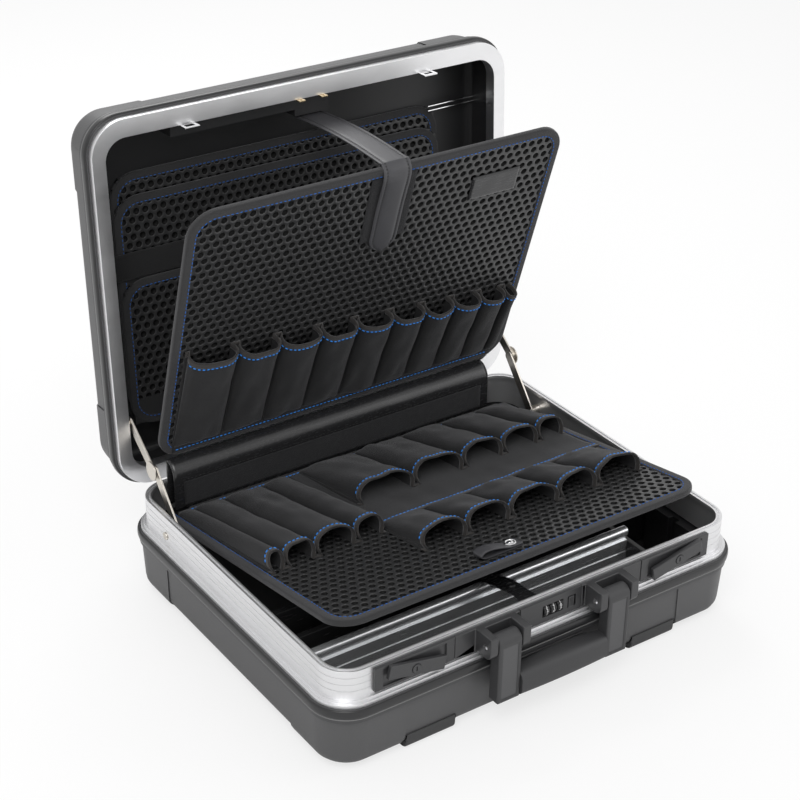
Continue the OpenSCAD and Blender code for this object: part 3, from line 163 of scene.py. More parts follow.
def show_white(tree, shader_socket, target):
    """What the camera, gloss and glass see there is plain white, and the light stays as it is."""
    path = tree.nodes.new("ShaderNodeLightPath")
    seen = tree.nodes.new("ShaderNodeMath")
    seen.operation = "MAXIMUM"
    tree.links.new(path.outputs["Is Camera Ray"], seen.inputs[0])
    tree.links.new(path.outputs["Is Glossy Ray"], seen.inputs[1])
    through = tree.nodes.new("ShaderNodeMath")
    through.operation = "MAXIMUM"
    tree.links.new(seen.outputs[0], through.inputs[0])
    tree.links.new(path.outputs["Is Transmission Ray"], through.inputs[1])
    mix = tree.nodes.new("ShaderNodeMixShader")
    tree.links.new(through.outputs[0], mix.inputs[0])
    tree.links.new(shader_socket, mix.inputs[1])
    tree.links.new(mix.outputs[0], target)
    return mix


world = bpy.data.worlds.new("tent")
bpy.context.scene.world = world
world.use_nodes = True
sky = world.node_tree
sky.nodes["Background"].inputs["Color"].default_value = (1, 1, 1, 1)
sky.nodes["Background"].inputs["Strength"].default_value = TENT_LIGHT
white = sky.nodes.new("ShaderNodeBackground")
white.inputs["Strength"].default_value = 1.0
mix = show_white(sky, sky.nodes["Background"].outputs[0], sky.nodes["World Output"].inputs[0])
sky.links.new(white.outputs[0], mix.inputs[2])

# %% Floor
FLOOR_SIZE = 12
FLOOR_WHITE = 0.72

bm = bmesh.new()
bmesh.ops.create_grid(bm, x_segments=1, y_segments=1, size=FLOOR_SIZE / 2)
mesh = bpy.data.meshes.new("floor")
bm.to_mesh(mesh)
bm.free()
floor = bpy.data.objects.new("floor", mesh)
bpy.context.scene.collection.objects.link(floor)
paper = bpy.data.materials.new("paper")
paper.use_nodes = True
tree = paper.node_tree
tree.nodes["Principled BSDF"].inputs["Base Color"].default_value = (0.92, 0.92, 0.92, 1)
tree.nodes["Principled BSDF"].inputs["Roughness"].default_value = 0.9
path = tree.nodes.new("ShaderNodeLightPath")
glow = tree.nodes.new("ShaderNodeEmission")
mix = tree.nodes.new("ShaderNodeMixShader")
share = tree.nodes.new("ShaderNodeMath")
share.operation = "MULTIPLY"
share.inputs[1].default_value = FLOOR_WHITE
tree.links.new(path.outputs["Is Camera Ray"], share.inputs[0])
tree.links.new(share.outputs[0], mix.inputs[0])
tree.links.new(tree.nodes["Principled BSDF"].outputs[0], mix.inputs[1])
tree.links.new(glow.outputs[0], mix.inputs[2])
tree.links.new(mix.outputs[0], tree.nodes["Material Output"].inputs[0])
mesh.materials.append(paper)
floor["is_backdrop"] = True

# %% [markdown]
# ## Shader sums
# A texture is a number that changes over the surface, and most finishes are sums of such
# numbers. Wire wraps one output socket, so that `0.4 + grain * 0.3` writes the Math nodes by
# itself. Finish holds one material, and its add() makes any other node.

# %% Wire and Finish
class Wire:
    """An output socket that takes part in sums."""

    def __init__(self, tree, socket):
        self.tree = tree
        self.socket = socket

    def calc(self, operation, *values):
        node = self.tree.nodes.new("ShaderNodeMath")
        node.operation = operation
        for socket, value in zip(node.inputs, values):
            plug(self.tree, socket, value)
        return Wire(self.tree, node.outputs[0])

    def __add__(self, other): return self.calc("ADD", self, other)
    def __radd__(self, other): return self.calc("ADD", other, self)
    def __sub__(self, other): return self.calc("SUBTRACT", self, other)
    def __mul__(self, other): return self.calc("MULTIPLY", self, other)

    def sine(self): return self.calc("SINE", self)

    def step(self, low, high):
        """0 below low, 1 above high, and a smooth rise between."""
        node = self.tree.nodes.new("ShaderNodeMapRange")
        node.interpolation_type = "SMOOTHSTEP"
        plug(self.tree, node.inputs["Value"], self)
        node.inputs["From Min"].default_value = low
        node.inputs["From Max"].default_value = high
        return Wire(self.tree, node.outputs[0])


def plug(tree, socket, value):
    """Links a Wire to a socket, or sets the socket to a plain value."""
    if isinstance(value, Wire):
        tree.links.new(value.socket, socket)
    else:
        socket.default_value = value


def named(sockets, name):
    """The shown socket of that name. A Mix node has several of one name, and shows one."""
    return next(s for s in sockets if s.name == name and s.enabled)


class Finish:
    """One material. Keyword values go to the shader's own sockets."""

    def __init__(self, name, color, **constants):
        self.material = bpy.data.materials.new(name)
        self.material.use_nodes = True
        self.material.diffuse_color = (*color, 1)
        self.tree = self.material.node_tree
        self.shader = self.tree.nodes["Principled BSDF"]
        self.set(Base_Color=(*color, 1), **constants)

    def set(self, **values):
        for name, value in values.items():
            plug(self.tree, self.shader.inputs[name.replace("_", " ")], value)

    def add(self, kind, settings=None, out=None, **values):
        """A node of any kind. Its settings come first, then its sockets. Returns one output."""
        node = self.tree.nodes.new(kind)
        for name, value in (settings or {}).items():
            setattr(node, name, value)
        for name, value in values.items():
            plug(self.tree, named(node.inputs, name.replace("_", " ")), value)
        socket = named(node.outputs, out) if out else next(s for s in node.outputs if s.enabled)
        return Wire(self.tree, socket)

    def place(self, stretch=(1, 1, 1)):
        """Object coordinates, stretched along their axes."""
        here = self.add("ShaderNodeTexCoord", out="Object")
        return self.add("ShaderNodeMapping", Vector=here, Scale=stretch)

    def noise(self, scale, detail=2.0, stretch=(1, 1, 1)):
        return self.add("ShaderNodeTexNoise", out="Fac", Vector=self.place(stretch), Scale=scale,
            Detail=detail)

    def cells(self, scale):
        return self.add("ShaderNodeTexVoronoi", out="Distance", Vector=self.place(), Scale=scale)

    def tint(self, amount, dark, light):
        """A colour between dark and light."""
        return self.add("ShaderNodeMix", {"data_type": "RGBA"}, out="Result", Factor=amount,
            A=(*dark, 1), B=(*light, 1))

    def relief(self, height, depth, strength=1.0):
        """Bumps of that depth in metres."""
        bump = self.add("ShaderNodeBump", Height=height, Distance=depth, Strength=strength)
        self.set(Normal=bump)


def shade(color, factor):
    return tuple(channel * factor for channel in color)


# %% [markdown]
# ## The finishes
# The shells are moulded with a fine leather grain that turns the light to a soft grey. The
# frames are extruded and then brushed, so their streaks run along the rim. Fabrics have a
# weave at its real pitch of about half a millimetre, and a sheen that lifts their edges.

# %% Moulded plastics
def moulded(name, color, roughness, cell=1.1, depth=0.00008, gloss=0.5):
    """Moulded plastic with a pebbled grain. cell is the size of its pebbles in mm."""
    finish = Finish(name, color, Specular_IOR_Level=gloss)
    pebbles = finish.cells(1 / (cell * MM))
    cloud = finish.noise(9, 3)
    scuffs = finish.noise(60, 4, stretch=(1, 1, 6))
    spread = cloud * 0.7 + pebbles * 0.3
    finish.set(Base_Color=finish.tint(spread, shade(color, 0.86), shade(color, 1.12)))
    finish.set(Roughness=roughness + (cloud - 0.5) * 0.12 + scuffs.step(0.62, 0.75) * 0.08)
    finish.relief(pebbles + cloud * 0.2, depth)
    return finish


SHELL = moulded("moulded_shell", (0.078, 0.078, 0.080), 0.46)
BELT = moulded("smooth_belt", (0.050, 0.050, 0.052), 0.38, cell=0.7, depth=0.00002)
FITTING = moulded("fitting_plastic", (0.040, 0.040, 0.042), 0.34, cell=0.6, depth=0.00002)
LINING = moulded("lining_plastic", (0.016, 0.016, 0.017), 0.42, cell=0.9, depth=0.00004)
FOOT = moulded("foot_rubber", (0.040, 0.040, 0.041), 0.55, cell=0.8, depth=0.00004)
PLATE = moulded("board_plastic", (0.036, 0.036, 0.037), 0.30, cell=0.5, depth=0.00002)
# Near-black and nearly without gloss, for the dimples' deep faces: painted shade in the hollows of a board that is
# all one plastic.
DIMPLE_SHADE = moulded("dimple_painted_shade", (0.005, 0.005, 0.005), 0.60, cell=0.5, depth=0.00001, gloss=0.15)
DIVIDER = moulded("divider_plastic", (0.024, 0.024, 0.025), 0.26)
BEAD = moulded("belt_bead", (0.018, 0.018, 0.019), 0.30, cell=0.7, depth=0.00001)
# A pale grey for the thin line under each belt's bead: a painted highlight along that edge.
EDGE_HIGHLIGHT = moulded("painted_edge_highlight", (0.19, 0.19, 0.19), 0.40, cell=0.7, depth=0.00001)
PANEL = moulded("arm_panel", (0.070, 0.070, 0.073), 0.30, cell=0.6, depth=0.00001)

# %% Metals
def brushed(name, color, roughness, stretch, depth=0.000006, metal=1.0):
    """Metal with streaks. stretch is small along the streaks and 1 across them."""
    finish = Finish(name, color, Metallic=metal)
    streaks = finish.noise(1400, 3, stretch=stretch)
    cloud = finish.noise(14, 2)
    finish.set(Base_Color=finish.tint(streaks, shade(color, 0.93), shade(color, 1.03)))
    finish.set(Roughness=roughness + (streaks - 0.5) * 0.14 + (cloud - 0.5) * 0.08)
    finish.relief(streaks, depth, 0.5)
    return finish


BAND = brushed("brushed_band", (0.80, 0.80, 0.81), 0.36, (0.02, 0.02, 1), metal=0.85)
FACE = brushed("brushed_frame", (0.88, 0.88, 0.89), 0.34, (0.02, 0.6, 0.02))
EXTRUSION = brushed("drawn_divider", (0.95, 0.96, 0.98), 0.24, (0.01, 1, 1), 0.000002, metal=0.8)
NICKEL = brushed("nickel_stay", (0.66, 0.62, 0.56), 0.32, (0.2, 0.2, 0.2))
ZINC = brushed("zinc_hinge", (0.55, 0.55, 0.56), 0.36, (0.2, 1, 1))
CHROME = brushed("chrome_hook", (0.86, 0.86, 0.87), 0.12, (0.3, 0.3, 0.3), 0.00001)
BRASS = brushed("brass_hook", (0.80, 0.64, 0.40), 0.22, (0.3, 0.3, 0.3), 0.00001)

# %% Fabrics and leathers
def woven(name, color, pitch=0.55, depth=0.00025, sheen=0.5):
    """Cloth with crossing threads of that pitch in mm."""
    finish = Finish(name, color, Specular_IOR_Level=0.25, Sheen_Weight=sheen, Sheen_Roughness=0.45,
        Sheen_Tint=(0.55, 0.55, 0.57, 1))
    along = finish.add("ShaderNodeSeparateXYZ", out="X", Vector=finish.place())
    split = along.socket.node.outputs
    rise = Wire(finish.tree, split["Y"]) + Wire(finish.tree, split["Z"])
    turns = 2 * math.pi / (pitch * MM)
    warp = (along * turns).sine()
    weft = (rise * turns).sine()
    weave = (warp * weft + 1) * 0.5
    lint = finish.noise(700, 3)
    cloud = finish.noise(24, 3)
    spread = lint * 0.55 + cloud * 0.45
    finish.set(Base_Color=finish.tint(spread, shade(color, 0.62), shade(color, 1.42)))
    finish.set(Roughness=0.78 + (lint - 0.5) * 0.3)
    finish.relief(weave * 0.6 + lint * 0.6 + cloud * 0.8, depth, 0.8)
    return finish


def leathery(name, color, roughness, depth=0.00006, coat=0.0):
    """Smooth artificial leather with fine pores and faint creases."""
    finish = Finish(name, color, Specular_IOR_Level=0.5, Coat_Weight=coat, Coat_Roughness=0.3)
    pores = finish.cells(1500)
    creases = finish.noise(160, 4, stretch=(1, 3, 3))
    finish.set(Base_Color=finish.tint(creases, shade(color, 0.8), shade(color, 1.2)))
    finish.set(Roughness=roughness + (creases - 0.5) * 0.18)
    finish.relief(pores * 0.4 + creases, depth, 0.5)
    return finish


CLOTH = woven("pocket_cloth", (0.014, 0.014, 0.0145), sheen=0.28)
TAPE = woven("binding_tape", (0.030, 0.030, 0.031), pitch=0.8, depth=0.0003, sheen=0.4)
FUZZ = woven("loop_fastener", (0.010, 0.010, 0.011), pitch=1.1, depth=0.0009, sheen=0.25)
SPINE = leathery("spine_leather", (0.017, 0.017, 0.018), 0.26, coat=0.25)
STRAP = leathery("strap_leather", (0.050, 0.050, 0.055), 0.42)
RIM_TAPE = woven("rim_tape", (0.036, 0.033, 0.031), pitch=0.8, depth=0.0003, sheen=0.4)
GRIP = moulded("soft_grip", (0.040, 0.040, 0.042), 0.50, cell=0.6, depth=0.00003)
DIAL = moulded("dial_plastic", (0.010, 0.010, 0.011), 0.35, cell=0.5, depth=0.00001)

# %% Threads and paint
TWIST = 900


def blue_thread(name, color, roughness, dark, light):
    """Thread whose twist shows as a change from a dark to a light blue."""
    finish = Finish(name, color, Roughness=roughness)
    finish.set(Base_Color=finish.tint(finish.noise(TWIST, 2), dark, light))
    return finish


def uneven(name, color, roughness, scale):
    """A plain colour whose gloss changes a little from place to place."""
    finish = Finish(name, color)
    finish.set(Roughness=roughness + finish.noise(scale, 2) * 0.2)
    return finish


THREAD = blue_thread("blue_thread", (0.012, 0.25, 0.88), 0.55, (0.008, 0.18, 0.72), (0.02, 0.33, 1.0))
DEEP_THREAD = blue_thread("deep_blue_thread", (0.008, 0.10, 0.42), 0.6, (0.005, 0.07, 0.32),
    (0.012, 0.15, 0.55))
DARK_THREAD = uneven("dark_thread", (0.012, 0.012, 0.012), 0.5, TWIST)
DIGIT = uneven("digit_paint", (0.80, 0.80, 0.80), 0.42, 500)
print("finishes made:", len(bpy.data.materials))

# %% [markdown]
# ## Making and finishing a piece
# Every piece is drawn in millimetres as a bmesh in its own frame, and a matrix puts it in
# the scene. finish_piece does the rest: it makes the object, hangs it on the body that it
# moves with, and hides the plain nodes that it stands for. trim_piece only adds to a node.

# %% From bmesh to finished object
BODY_OF = {node: body for body, nodes in frame["record"]["behaviour"]["bodies"].items()
    for node in nodes}


def new_object(name, bm, finishes, place, sharp):
    """Makes a painted object of a bmesh, shaded smooth but for edges over sharp degrees."""
    bm.transform(place)
    mesh = bpy.data.meshes.new(name)
    bm.to_mesh(mesh)
    bm.free()
    obj = bpy.data.objects.new(name, mesh)
    bpy.context.scene.collection.objects.link(obj)
    for finish in finishes:
        mesh.materials.append(finish.material)
    mesh.polygons.foreach_set("use_smooth", [True] * len(mesh.polygons))
    mesh.set_sharp_from_angle(angle=math.radians(sharp))
    return obj


def finish_piece(name, bm, finish, stands_for, place=RIM_FRAME, sharp=40, weighted=False):
    """A piece that stands for the named nodes and moves with them. finish may be a list."""
    obj = new_object(name, bm, finish if isinstance(finish, list) else [finish], place, sharp)
    if weighted:
        obj.modifiers.new("even_shading", "WEIGHTED_NORMAL").keep_sharp = True
    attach(obj, BODY_OF[stands_for[0]])
    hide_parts(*stands_for)
    return obj


def trim_piece(name, bm, finish, beside, place=RIM_FRAME, sharp=40):
    """A small added piece, such as a row of stitches, that moves with a node and hides none."""
    obj = new_object(name, bm, [finish], place, sharp)
    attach(obj, BODY_OF[beside])
    return obj


# %% [markdown]
# ## Softened edges
# No real edge is perfectly sharp, and an edge without a rounding catches no light. A moulded
# or cast piece therefore gets a copy of its CAD solid whose loose triangles are merged, whose
# flat faces are joined again, and whose hard edges are beveled by a radius that suits it.

# %% A rounded copy of a CAD node
MERGE = 0.00001
FLAT = math.radians(0.8)


def rounded_copy(node, width, segments=3, hard=30):
    """The node's mesh in metres, with every edge sharper than hard degrees rounded by width mm."""
    bm = bmesh.new()
    bm.from_mesh(NODES[node].data)
    bmesh.ops.remove_doubles(bm, verts=bm.verts, dist=MERGE)
    bmesh.ops.dissolve_limit(bm, angle_limit=FLAT, verts=bm.verts, edges=bm.edges)
    edges = [edge for edge in bm.edges
        if edge.is_manifold and edge.calc_face_angle(0) > math.radians(hard)]
    bmesh.ops.bevel(bm, geom=edges, offset=width * MM, offset_type="OFFSET", segments=segments,
        profile=0.5, affect="EDGES", clamp_overlap=False, material=-1)
    bmesh.ops.recalc_face_normals(bm, faces=bm.faces)
    return bm


def soften(node, width, finish, segments=3):
    bm = rounded_copy(node, width, segments)
    print(node, "rounded by", width, "mm:", len(bm.faces), "faces")
    finish_piece(node + "_rounded", bm, finish, [node], Matrix.Identity(4), weighted=True)


def repaint(finish, *nodes):
    """A CAD node whose shape is right keeps it, and gets a finish."""
    for node in nodes:
        data = NODES[node].data
        data.materials.clear()
        data.materials.append(finish.material)


# %% Metal and plastic pieces that keep their forms
soften("base_band", 0.3, BAND, 2)
soften("divider_front", 0.25, EXTRUSION, 2)
soften("divider_middle", 1.0, DIVIDER)
soften("divider_rear", 1.0, DIVIDER)
soften("divider_cross", 0.8, DIVIDER)
soften("feet_front", 1.4, FOOT)
soften("feet_rear", 1.4, FOOT)
soften("divider_rails", 0.5, LINING, 2)
soften("stay_rivets_base", 0.5, NICKEL, 2)
for side in ("left", "right"):
    soften("latch_plate_" + side, 0.6, FITTING)
    soften("stay_lower_" + side, 0.4, NICKEL)
    soften("stay_upper_" + side, 0.4, NICKEL)
    soften("latch_lever_" + side, 0.8, FITTING)
    soften("key_cylinder_" + side, 0.25, FITTING, 2)
    soften("handle_bracket_" + side, 1.1, FITTING)
soften("lock_plate", 0.4, FITTING)
soften("lock_slide", 0.2, FITTING, 2)
soften("latch_hooks", 0.35, CHROME, 2)
soften("lock_hooks", 0.3, BRASS, 2)
soften("lid_frame", 0.35, FACE, 2)
repaint(ZINC, "hinge_base_leaves", "hinge_lid_leaves")
repaint(CHROME, "hinge_pins", "dial_axle", "handle_pins", "lid_wire")
repaint(NICKEL, "stay_rivets_lid")
repaint(LINING, "lid_liner")

# %% [markdown]
# ## The moulded shells
# The two shells carry a smooth belt next to the aluminium and a grained body beyond it. The
# belt is the same moulding, so it is told apart by its faces: those whose middle lies within
# the belt's height take the smooth finish.

# %% Shells with their belts
SHELL_ROUNDING = 0.35


def shell(node, to_shell, belt_from, belt_to):
    """A shell whose faces between two heights are belt. The heights are in the shell's frame."""
    bm = rounded_copy(node, SHELL_ROUNDING, 2, 32)
    bm.transform(to_shell.inverted())
    for face in bm.faces:
        height = face.calc_center_median().z
        face.material_index = 1 if belt_from - 1.5 < height < belt_to + 0.5 else 0
    obj = finish_piece(node + "_moulded", bm, [SHELL, BELT], [node], to_shell, weighted=True)
    print(node, "has", len(obj.data.polygons), "faces")


shell("base_shell", RIM_FRAME, -51, -36)
shell("lid_shell", LID_FRAME, 8.3, 23.3)

# %% [markdown]
# ## Skins and sweeps
# Cloth and leather are curved sheets. skin starts from a flat grid and moves each vertex to
# its place on the sheet. sweep starts from a grid too, and carries a closed outline along a
# path, as a tape or a strap is fed through a folder and sewn down.

# %% The two ways to place a grid
def skin(across, along, shape):
    """A grid whose vertices go to shape(u, v), with u and v from 0 to 1."""
    bm = bmesh.new()
    bmesh.ops.create_grid(bm, x_segments=across, y_segments=along, size=0.5)
    for vertex in bm.verts:
        vertex.co = shape(vertex.co.x + 0.5, vertex.co.y + 0.5)
    return bm


def sweep(path, section, closed=False):
    """Carries a closed section of (out, rise) along a path of (place, out, rise)."""
    bm = bmesh.new()
    across = len(section)
    along = len(path) if closed else len(path) - 1
    bmesh.ops.create_grid(bm, x_segments=across, y_segments=along, size=0.5)
    for vertex in bm.verts:
        i = round((vertex.co.x + 0.5) * across) % across
        j = round((vertex.co.y + 0.5) * along) % len(path)
        place, out, rise = path[j]
        vertex.co = place + out * section[i][0] + rise * section[i][1]
    bmesh.ops.remove_doubles(bm, verts=bm.verts, dist=0.0005)
    if not closed:
        rims = [edge for edge in bm.edges if edge.is_boundary]
        bmesh.ops.holes_fill(bm, edges=rims, sides=0)
    bmesh.ops.recalc_face_normals(bm, faces=bm.faces)
    return bm


def flat_oval(out_low, out_high, half, steps=16, square=0.45):
    """A closed section from out_low to out_high, 2 * half thick, with rounded edges."""
    points = []
    for k in range(steps):
        turn = 2 * math.pi * (k + 0.5) / steps
        a, b = math.cos(turn), math.sin(turn)
        a = math.copysign(abs(a) ** square, a)
        b = math.copysign(abs(b) ** square, b)
        points.append(((out_low + out_high) / 2 + a * (out_high - out_low) / 2, b * half))
    return points


def turn_out(obj, out):
    """Turns an open sheet over if most of it faces away from out."""
    bm = bmesh.new()
    bm.from_mesh(obj.data)
    bmesh.ops.recalc_face_normals(bm, faces=bm.faces)
    total = sum((face.normal * face.calc_area() for face in bm.faces), Vector())
    if total.dot(out) < 0:
        bmesh.ops.reverse_faces(bm, faces=bm.faces)
    bm.to_mesh(obj.data)
    bm.free()


def sheet_piece(name, bm, finish, nodes, place, thick, offset=0.0, out=(0, 0, 1), added=False):
    """Cloth or leather that shows its out side. A live modifier makes it thick.

    It stands for the nodes, unless it is only added beside the first of them.
    """
    if added:
        obj = trim_piece(name, bm, finish, nodes[0], place, sharp=60)
    else:
        obj = finish_piece(name, bm, finish, nodes, place, sharp=60)
    turn_out(obj, place.to_3x3() @ Vector(out))
    wall = obj.modifiers.new("cloth thickness", "SOLIDIFY")
    wall.thickness = thick * MM
    wall.offset = offset
    wall.use_even_offset = False
    return obj


# %% [markdown]
# ## Stitches
# The case is sewn with a bright blue thread, and the dashes draw every edge. Each stitch is
# a small stretched ball of twenty faces that dips into the cloth at its ends. A seam is such
# stitches set along a path at a pitch of about four and a half millimetres.

# %% A row of stitches along a path
def sew(bm, path, pitch=4.6, length=3.7, thick=1.25, lift=0.15):
    """Sets stitches along a path of (place, side, rise)."""
    made = 0
    walked = pitch / 2
    for (start, side, rise), (end, _, _) in zip(path, path[1:]):
        span = (end - start).length
        if span < 1e-6:
            continue
        along = (end - start) / span
        while walked < span:
            spot = start + along * walked + rise * lift
            across = rise.cross(along).normalized()
            turn = Matrix((along * length / 2, across * thick / 2, rise * thick / 2)).transposed()
            bmesh.ops.create_icosphere(bm, subdivisions=1, radius=1,
                matrix=Matrix.Translation(spot) @ turn.to_4x4())
            walked += pitch
            made += 1
        walked -= span
    return made


def seam(name, paths, beside, place, thread=THREAD, **sizes):
    bm = bmesh.new()
    made = sum(sew(bm, path, **sizes) for path in paths)
    print(name, "has", made, "stitches")
    return trim_piece(name, bm, thread, beside, place, sharp=180)


# %% [markdown]
# ## The dimpled boards
# The tool boards are sheets of black plastic with rows of round dimples, set like the cells
# of a honeycomb. One hexagonal cell is made from a circle of twelve edges that is extruded
# down into a dimple, whose deeper walls and floor take a near-black material: painted shade.
# It is copied into a row, the row into a field, and the field is cut to
# the board's outline and closed at the back.

# %% One cell, a field of cells and a board
CELL = 10.0
ROW = CELL * math.sqrt(3) / 2
HOLE = 3.4
DEEP = 2.4


def only(parts, kind):
    """The vertices, edges or faces among mixed parts."""
    return [part for part in parts if isinstance(part, kind)]


def dimple_cell(bm):
    """One cell: a hexagon's rim, then rings of (reach, sink) down into its dimple."""
    ring = bmesh.ops.create_circle(bm, cap_ends=False, segments=12, radius=1)["verts"]
    for vertex in ring:
        turn = math.atan2(vertex.co.y, vertex.co.x)
        even = round(math.degrees(turn) / 30) % 2 == 0
        reach = CELL / 2 if even else CELL / math.sqrt(3)
        vertex.co = Vector((math.cos(turn), math.sin(turn), 0)) * reach
    edges = list(bm.edges)
    for reach, sink in ((HOLE + 0.3, 0), (HOLE, 0.3), (HOLE - 0.2, 1.6), (HOLE - 0.9, DEEP)):
        made = bmesh.ops.extrude_edge_only(bm, edges=edges)["geom"]
        for face in only(made, bmesh.types.BMFace):
            # Faces deeper than 0.3 mm take the near-black material: painted shade inside the dimple.
            face.material_index = 1 if sink > 0.3 else 0
        edges = only(made, bmesh.types.BMEdge)
        for vertex in only(made, bmesh.types.BMVert):
            turn = math.atan2(vertex.co.y, vertex.co.x)
            vertex.co = Vector((math.cos(turn) * reach, math.sin(turn) * reach, -sink))
    # The dimple's floor is painted shade as well.
    for face in bmesh.ops.contextual_create(bm, geom=edges)["faces"]:
        face.material_index = 1


def repeat(bm, geometry, step, times):
    """Copies geometry times over, each copy one step farther."""
    everything = list(geometry)
    last = list(geometry)
    for _ in range(times):
        last = bmesh.ops.duplicate(bm, geom=last)["geom"]
        bmesh.ops.translate(bm, verts=only(last, bmesh.types.BMVert), vec=step)
        everything += last
    return everything


def dimpled_plate(x_low, x_high, low, high, top, thick, corner):
    """A dimpled plate from low to high along the board. corner cuts its four corners off."""
    bm = bmesh.new()
    dimple_cell(bm)
    across = math.ceil((x_high - x_low) / CELL) + 1
    rows = math.ceil((high - low) / ROW) + 1
    geometry = bm.verts[:] + bm.edges[:] + bm.faces[:]
    row = repeat(bm, geometry, Vector((CELL, 0, 0)), across)
    pair = repeat(bm, row, Vector((CELL / 2, ROW, 0)), 1)
    repeat(bm, pair, Vector((0, 2 * ROW, 0)), rows // 2)
    bmesh.ops.translate(bm, verts=bm.verts, vec=Vector((x_low - CELL, low - ROW / 2, top)))
    bmesh.ops.remove_doubles(bm, verts=bm.verts, dist=0.02)
    cuts = [(x_low, low, -1, 0), (x_high, low, 1, 0), (x_low, low, 0, -1), (x_low, high, 0, 1)]
    if corner:
        for sx in (-1, 1):
            for sy in (-1, 1):
                x = (x_high if sx > 0 else x_low) - sx * corner
                cuts.append((x, high if sy > 0 else low, sx, sy))
    for x, y, nx, ny in cuts:
        bmesh.ops.bisect_plane(bm, geom=bm.verts[:] + bm.edges[:] + bm.faces[:],
            plane_co=(x, y, 0), plane_no=(nx, ny, 0), clear_outer=True)
    rim = [edge for edge in bm.edges if edge.is_boundary]
    made = bmesh.ops.extrude_edge_only(bm, edges=rim)["geom"]
    for vertex in only(made, bmesh.types.BMVert):
        vertex.co.z = top - thick
    bmesh.ops.edgeloop_fill(bm, edges=only(made, bmesh.types.BMEdge))
    bmesh.ops.recalc_face_normals(bm, faces=bm.faces)
    return bm


# %% The two tool boards
BOARD_HALF_WIDTH = 212
BOARD_HALF_THICK = 2.2
UPPER_LENGTH = 310
LOWER_LENGTH = 330
BINDING = 9
HEM = 9

PLATE_INSET = 6
PLATE_HALF = BOARD_HALF_WIDTH - PLATE_INSET
PLATE_TOP = BOARD_HALF_THICK - 0.2
PLATE_THICK = 4.2
PLATE_CORNER = 16

for node, low, length, place in (("upper_board", PLATE_INSET, UPPER_LENGTH, UPPER_FRAME),
        ("lower_board", HEM + 0.4, LOWER_LENGTH, LOWER_FRAME)):
    plate = dimpled_plate(-PLATE_HALF, PLATE_HALF, low, length - PLATE_INSET, PLATE_TOP, PLATE_THICK,
        PLATE_CORNER)
    print(node, "has", len(plate.faces), "faces")
    # The second material is the painted shade in the dimples.
    finish_piece(node + "_dimpled", plate, [PLATE, DIMPLE_SHADE], [node], place, sharp=50)

# %% [markdown]
# ## Bindings
# A fabric tape folds over each board's edge and is sewn through. Its section is a flattened
# oval that hugs the board, swept along the board's outline. The blue seam runs along its
# inner edge on the side that shows.

# %% Outlines of boards
OUTLINE_STEP = 4.0


def outline(half, low, high, radius, closed=True):
    """Places along a board's rounded outline, each with the outward and the upward direction."""
    points = []
    foot = low + (radius if closed else 0)
    up = Vector((0, 0, 1))

    def line(start, end, out):
        count = max(1, round((end - start).length / OUTLINE_STEP))
        for k in range(count):
            points.append((start.lerp(end, k / count), out, up))

    def corner(middle, turn):
        count = max(6, round(radius * math.pi / 2 / OUTLINE_STEP))
        for k in range(count):
            angle = math.radians(turn - 90 * k / count)
            out = Vector((math.cos(angle), math.sin(angle), 0))
            points.append((middle + out * radius, out, up))

    left, right = Vector((-1, 0, 0)), Vector((1, 0, 0))
    line(Vector((-half, foot, 0)), Vector((-half, high - radius, 0)), left)
    corner(Vector((-half + radius, high - radius, 0)), 180)
    line(Vector((-half + radius, high, 0)), Vector((half - radius, high, 0)), Vector((0, 1, 0)))
    corner(Vector((half - radius, high - radius, 0)), 90)
    line(Vector((half, high - radius, 0)), Vector((half, foot, 0)), right)
    if closed:
        corner(Vector((half - radius, low + radius, 0)), 0)
        line(Vector((half - radius, low, 0)), Vector((-half + radius, low, 0)), Vector((0, -1, 0)))
        corner(Vector((-half + radius, low + radius, 0)), -90)
    else:
        points.append((Vector((half, low, 0)), right, up))
    return points


def shifted(path, out_by, rise_by):
    return [(place + out * out_by + rise * rise_by, out, rise) for place, out, rise in path]


# %% Bindings of the tool boards
BOARD_ROUND = 28
SEAM_INSET = 1.6
TAPE_SECTION = flat_oval(-BINDING, 0.9, 3.1, 20, 0.42)
upper_line = outline(BOARD_HALF_WIDTH, 0, UPPER_LENGTH, BOARD_ROUND)
lower_line = outline(BOARD_HALF_WIDTH, HEM, LOWER_LENGTH, BOARD_ROUND, closed=False)

tape = sweep(upper_line, TAPE_SECTION, closed=True)
finish_piece("upper_binding_tape", tape, TAPE, ["upper_binding"], UPPER_FRAME)
tape = sweep(lower_line, TAPE_SECTION)
finish_piece("lower_binding_tape", tape, TAPE, ["lower_binding"], LOWER_FRAME)
inner_upper = shifted(upper_line, -BINDING + SEAM_INSET, 3.0)
seam("upper_binding_seam", [inner_upper + inner_upper[:1]], "upper_board", UPPER_FRAME,
    thread=DEEP_THREAD, thick=1.0)
inner_lower = shifted(lower_line, -BINDING + SEAM_INSET, 3.0)
seam("lower_binding_seam", [inner_lower], "lower_board", LOWER_FRAME, thread=DEEP_THREAD, thick=0.9)

# %% [markdown]
# ## The beads of the belts
# A dark rounded bead runs round each shell where the aluminium ends, and a thin pale line
# under it is a painted highlight along that edge. Both are swept along the belt's outline.

# %% Belt beads
BELT_HALF_WIDTH = 242
BELT_HALF_DEPTH = 194
BELT_ROUND = 38
BELT_LINE = outline(BELT_HALF_WIDTH, 0, 2 * BELT_HALF_DEPTH, BELT_ROUND)
BEAD_SECTION = flat_oval(-1.2, 1.9, 4.4, 18, 0.75)
BEAD_DROP = 4.6
EDGE_SECTION = flat_oval(-0.8, 0.75, 0.7, 10, 0.9)
EDGE_DROP = 10.2


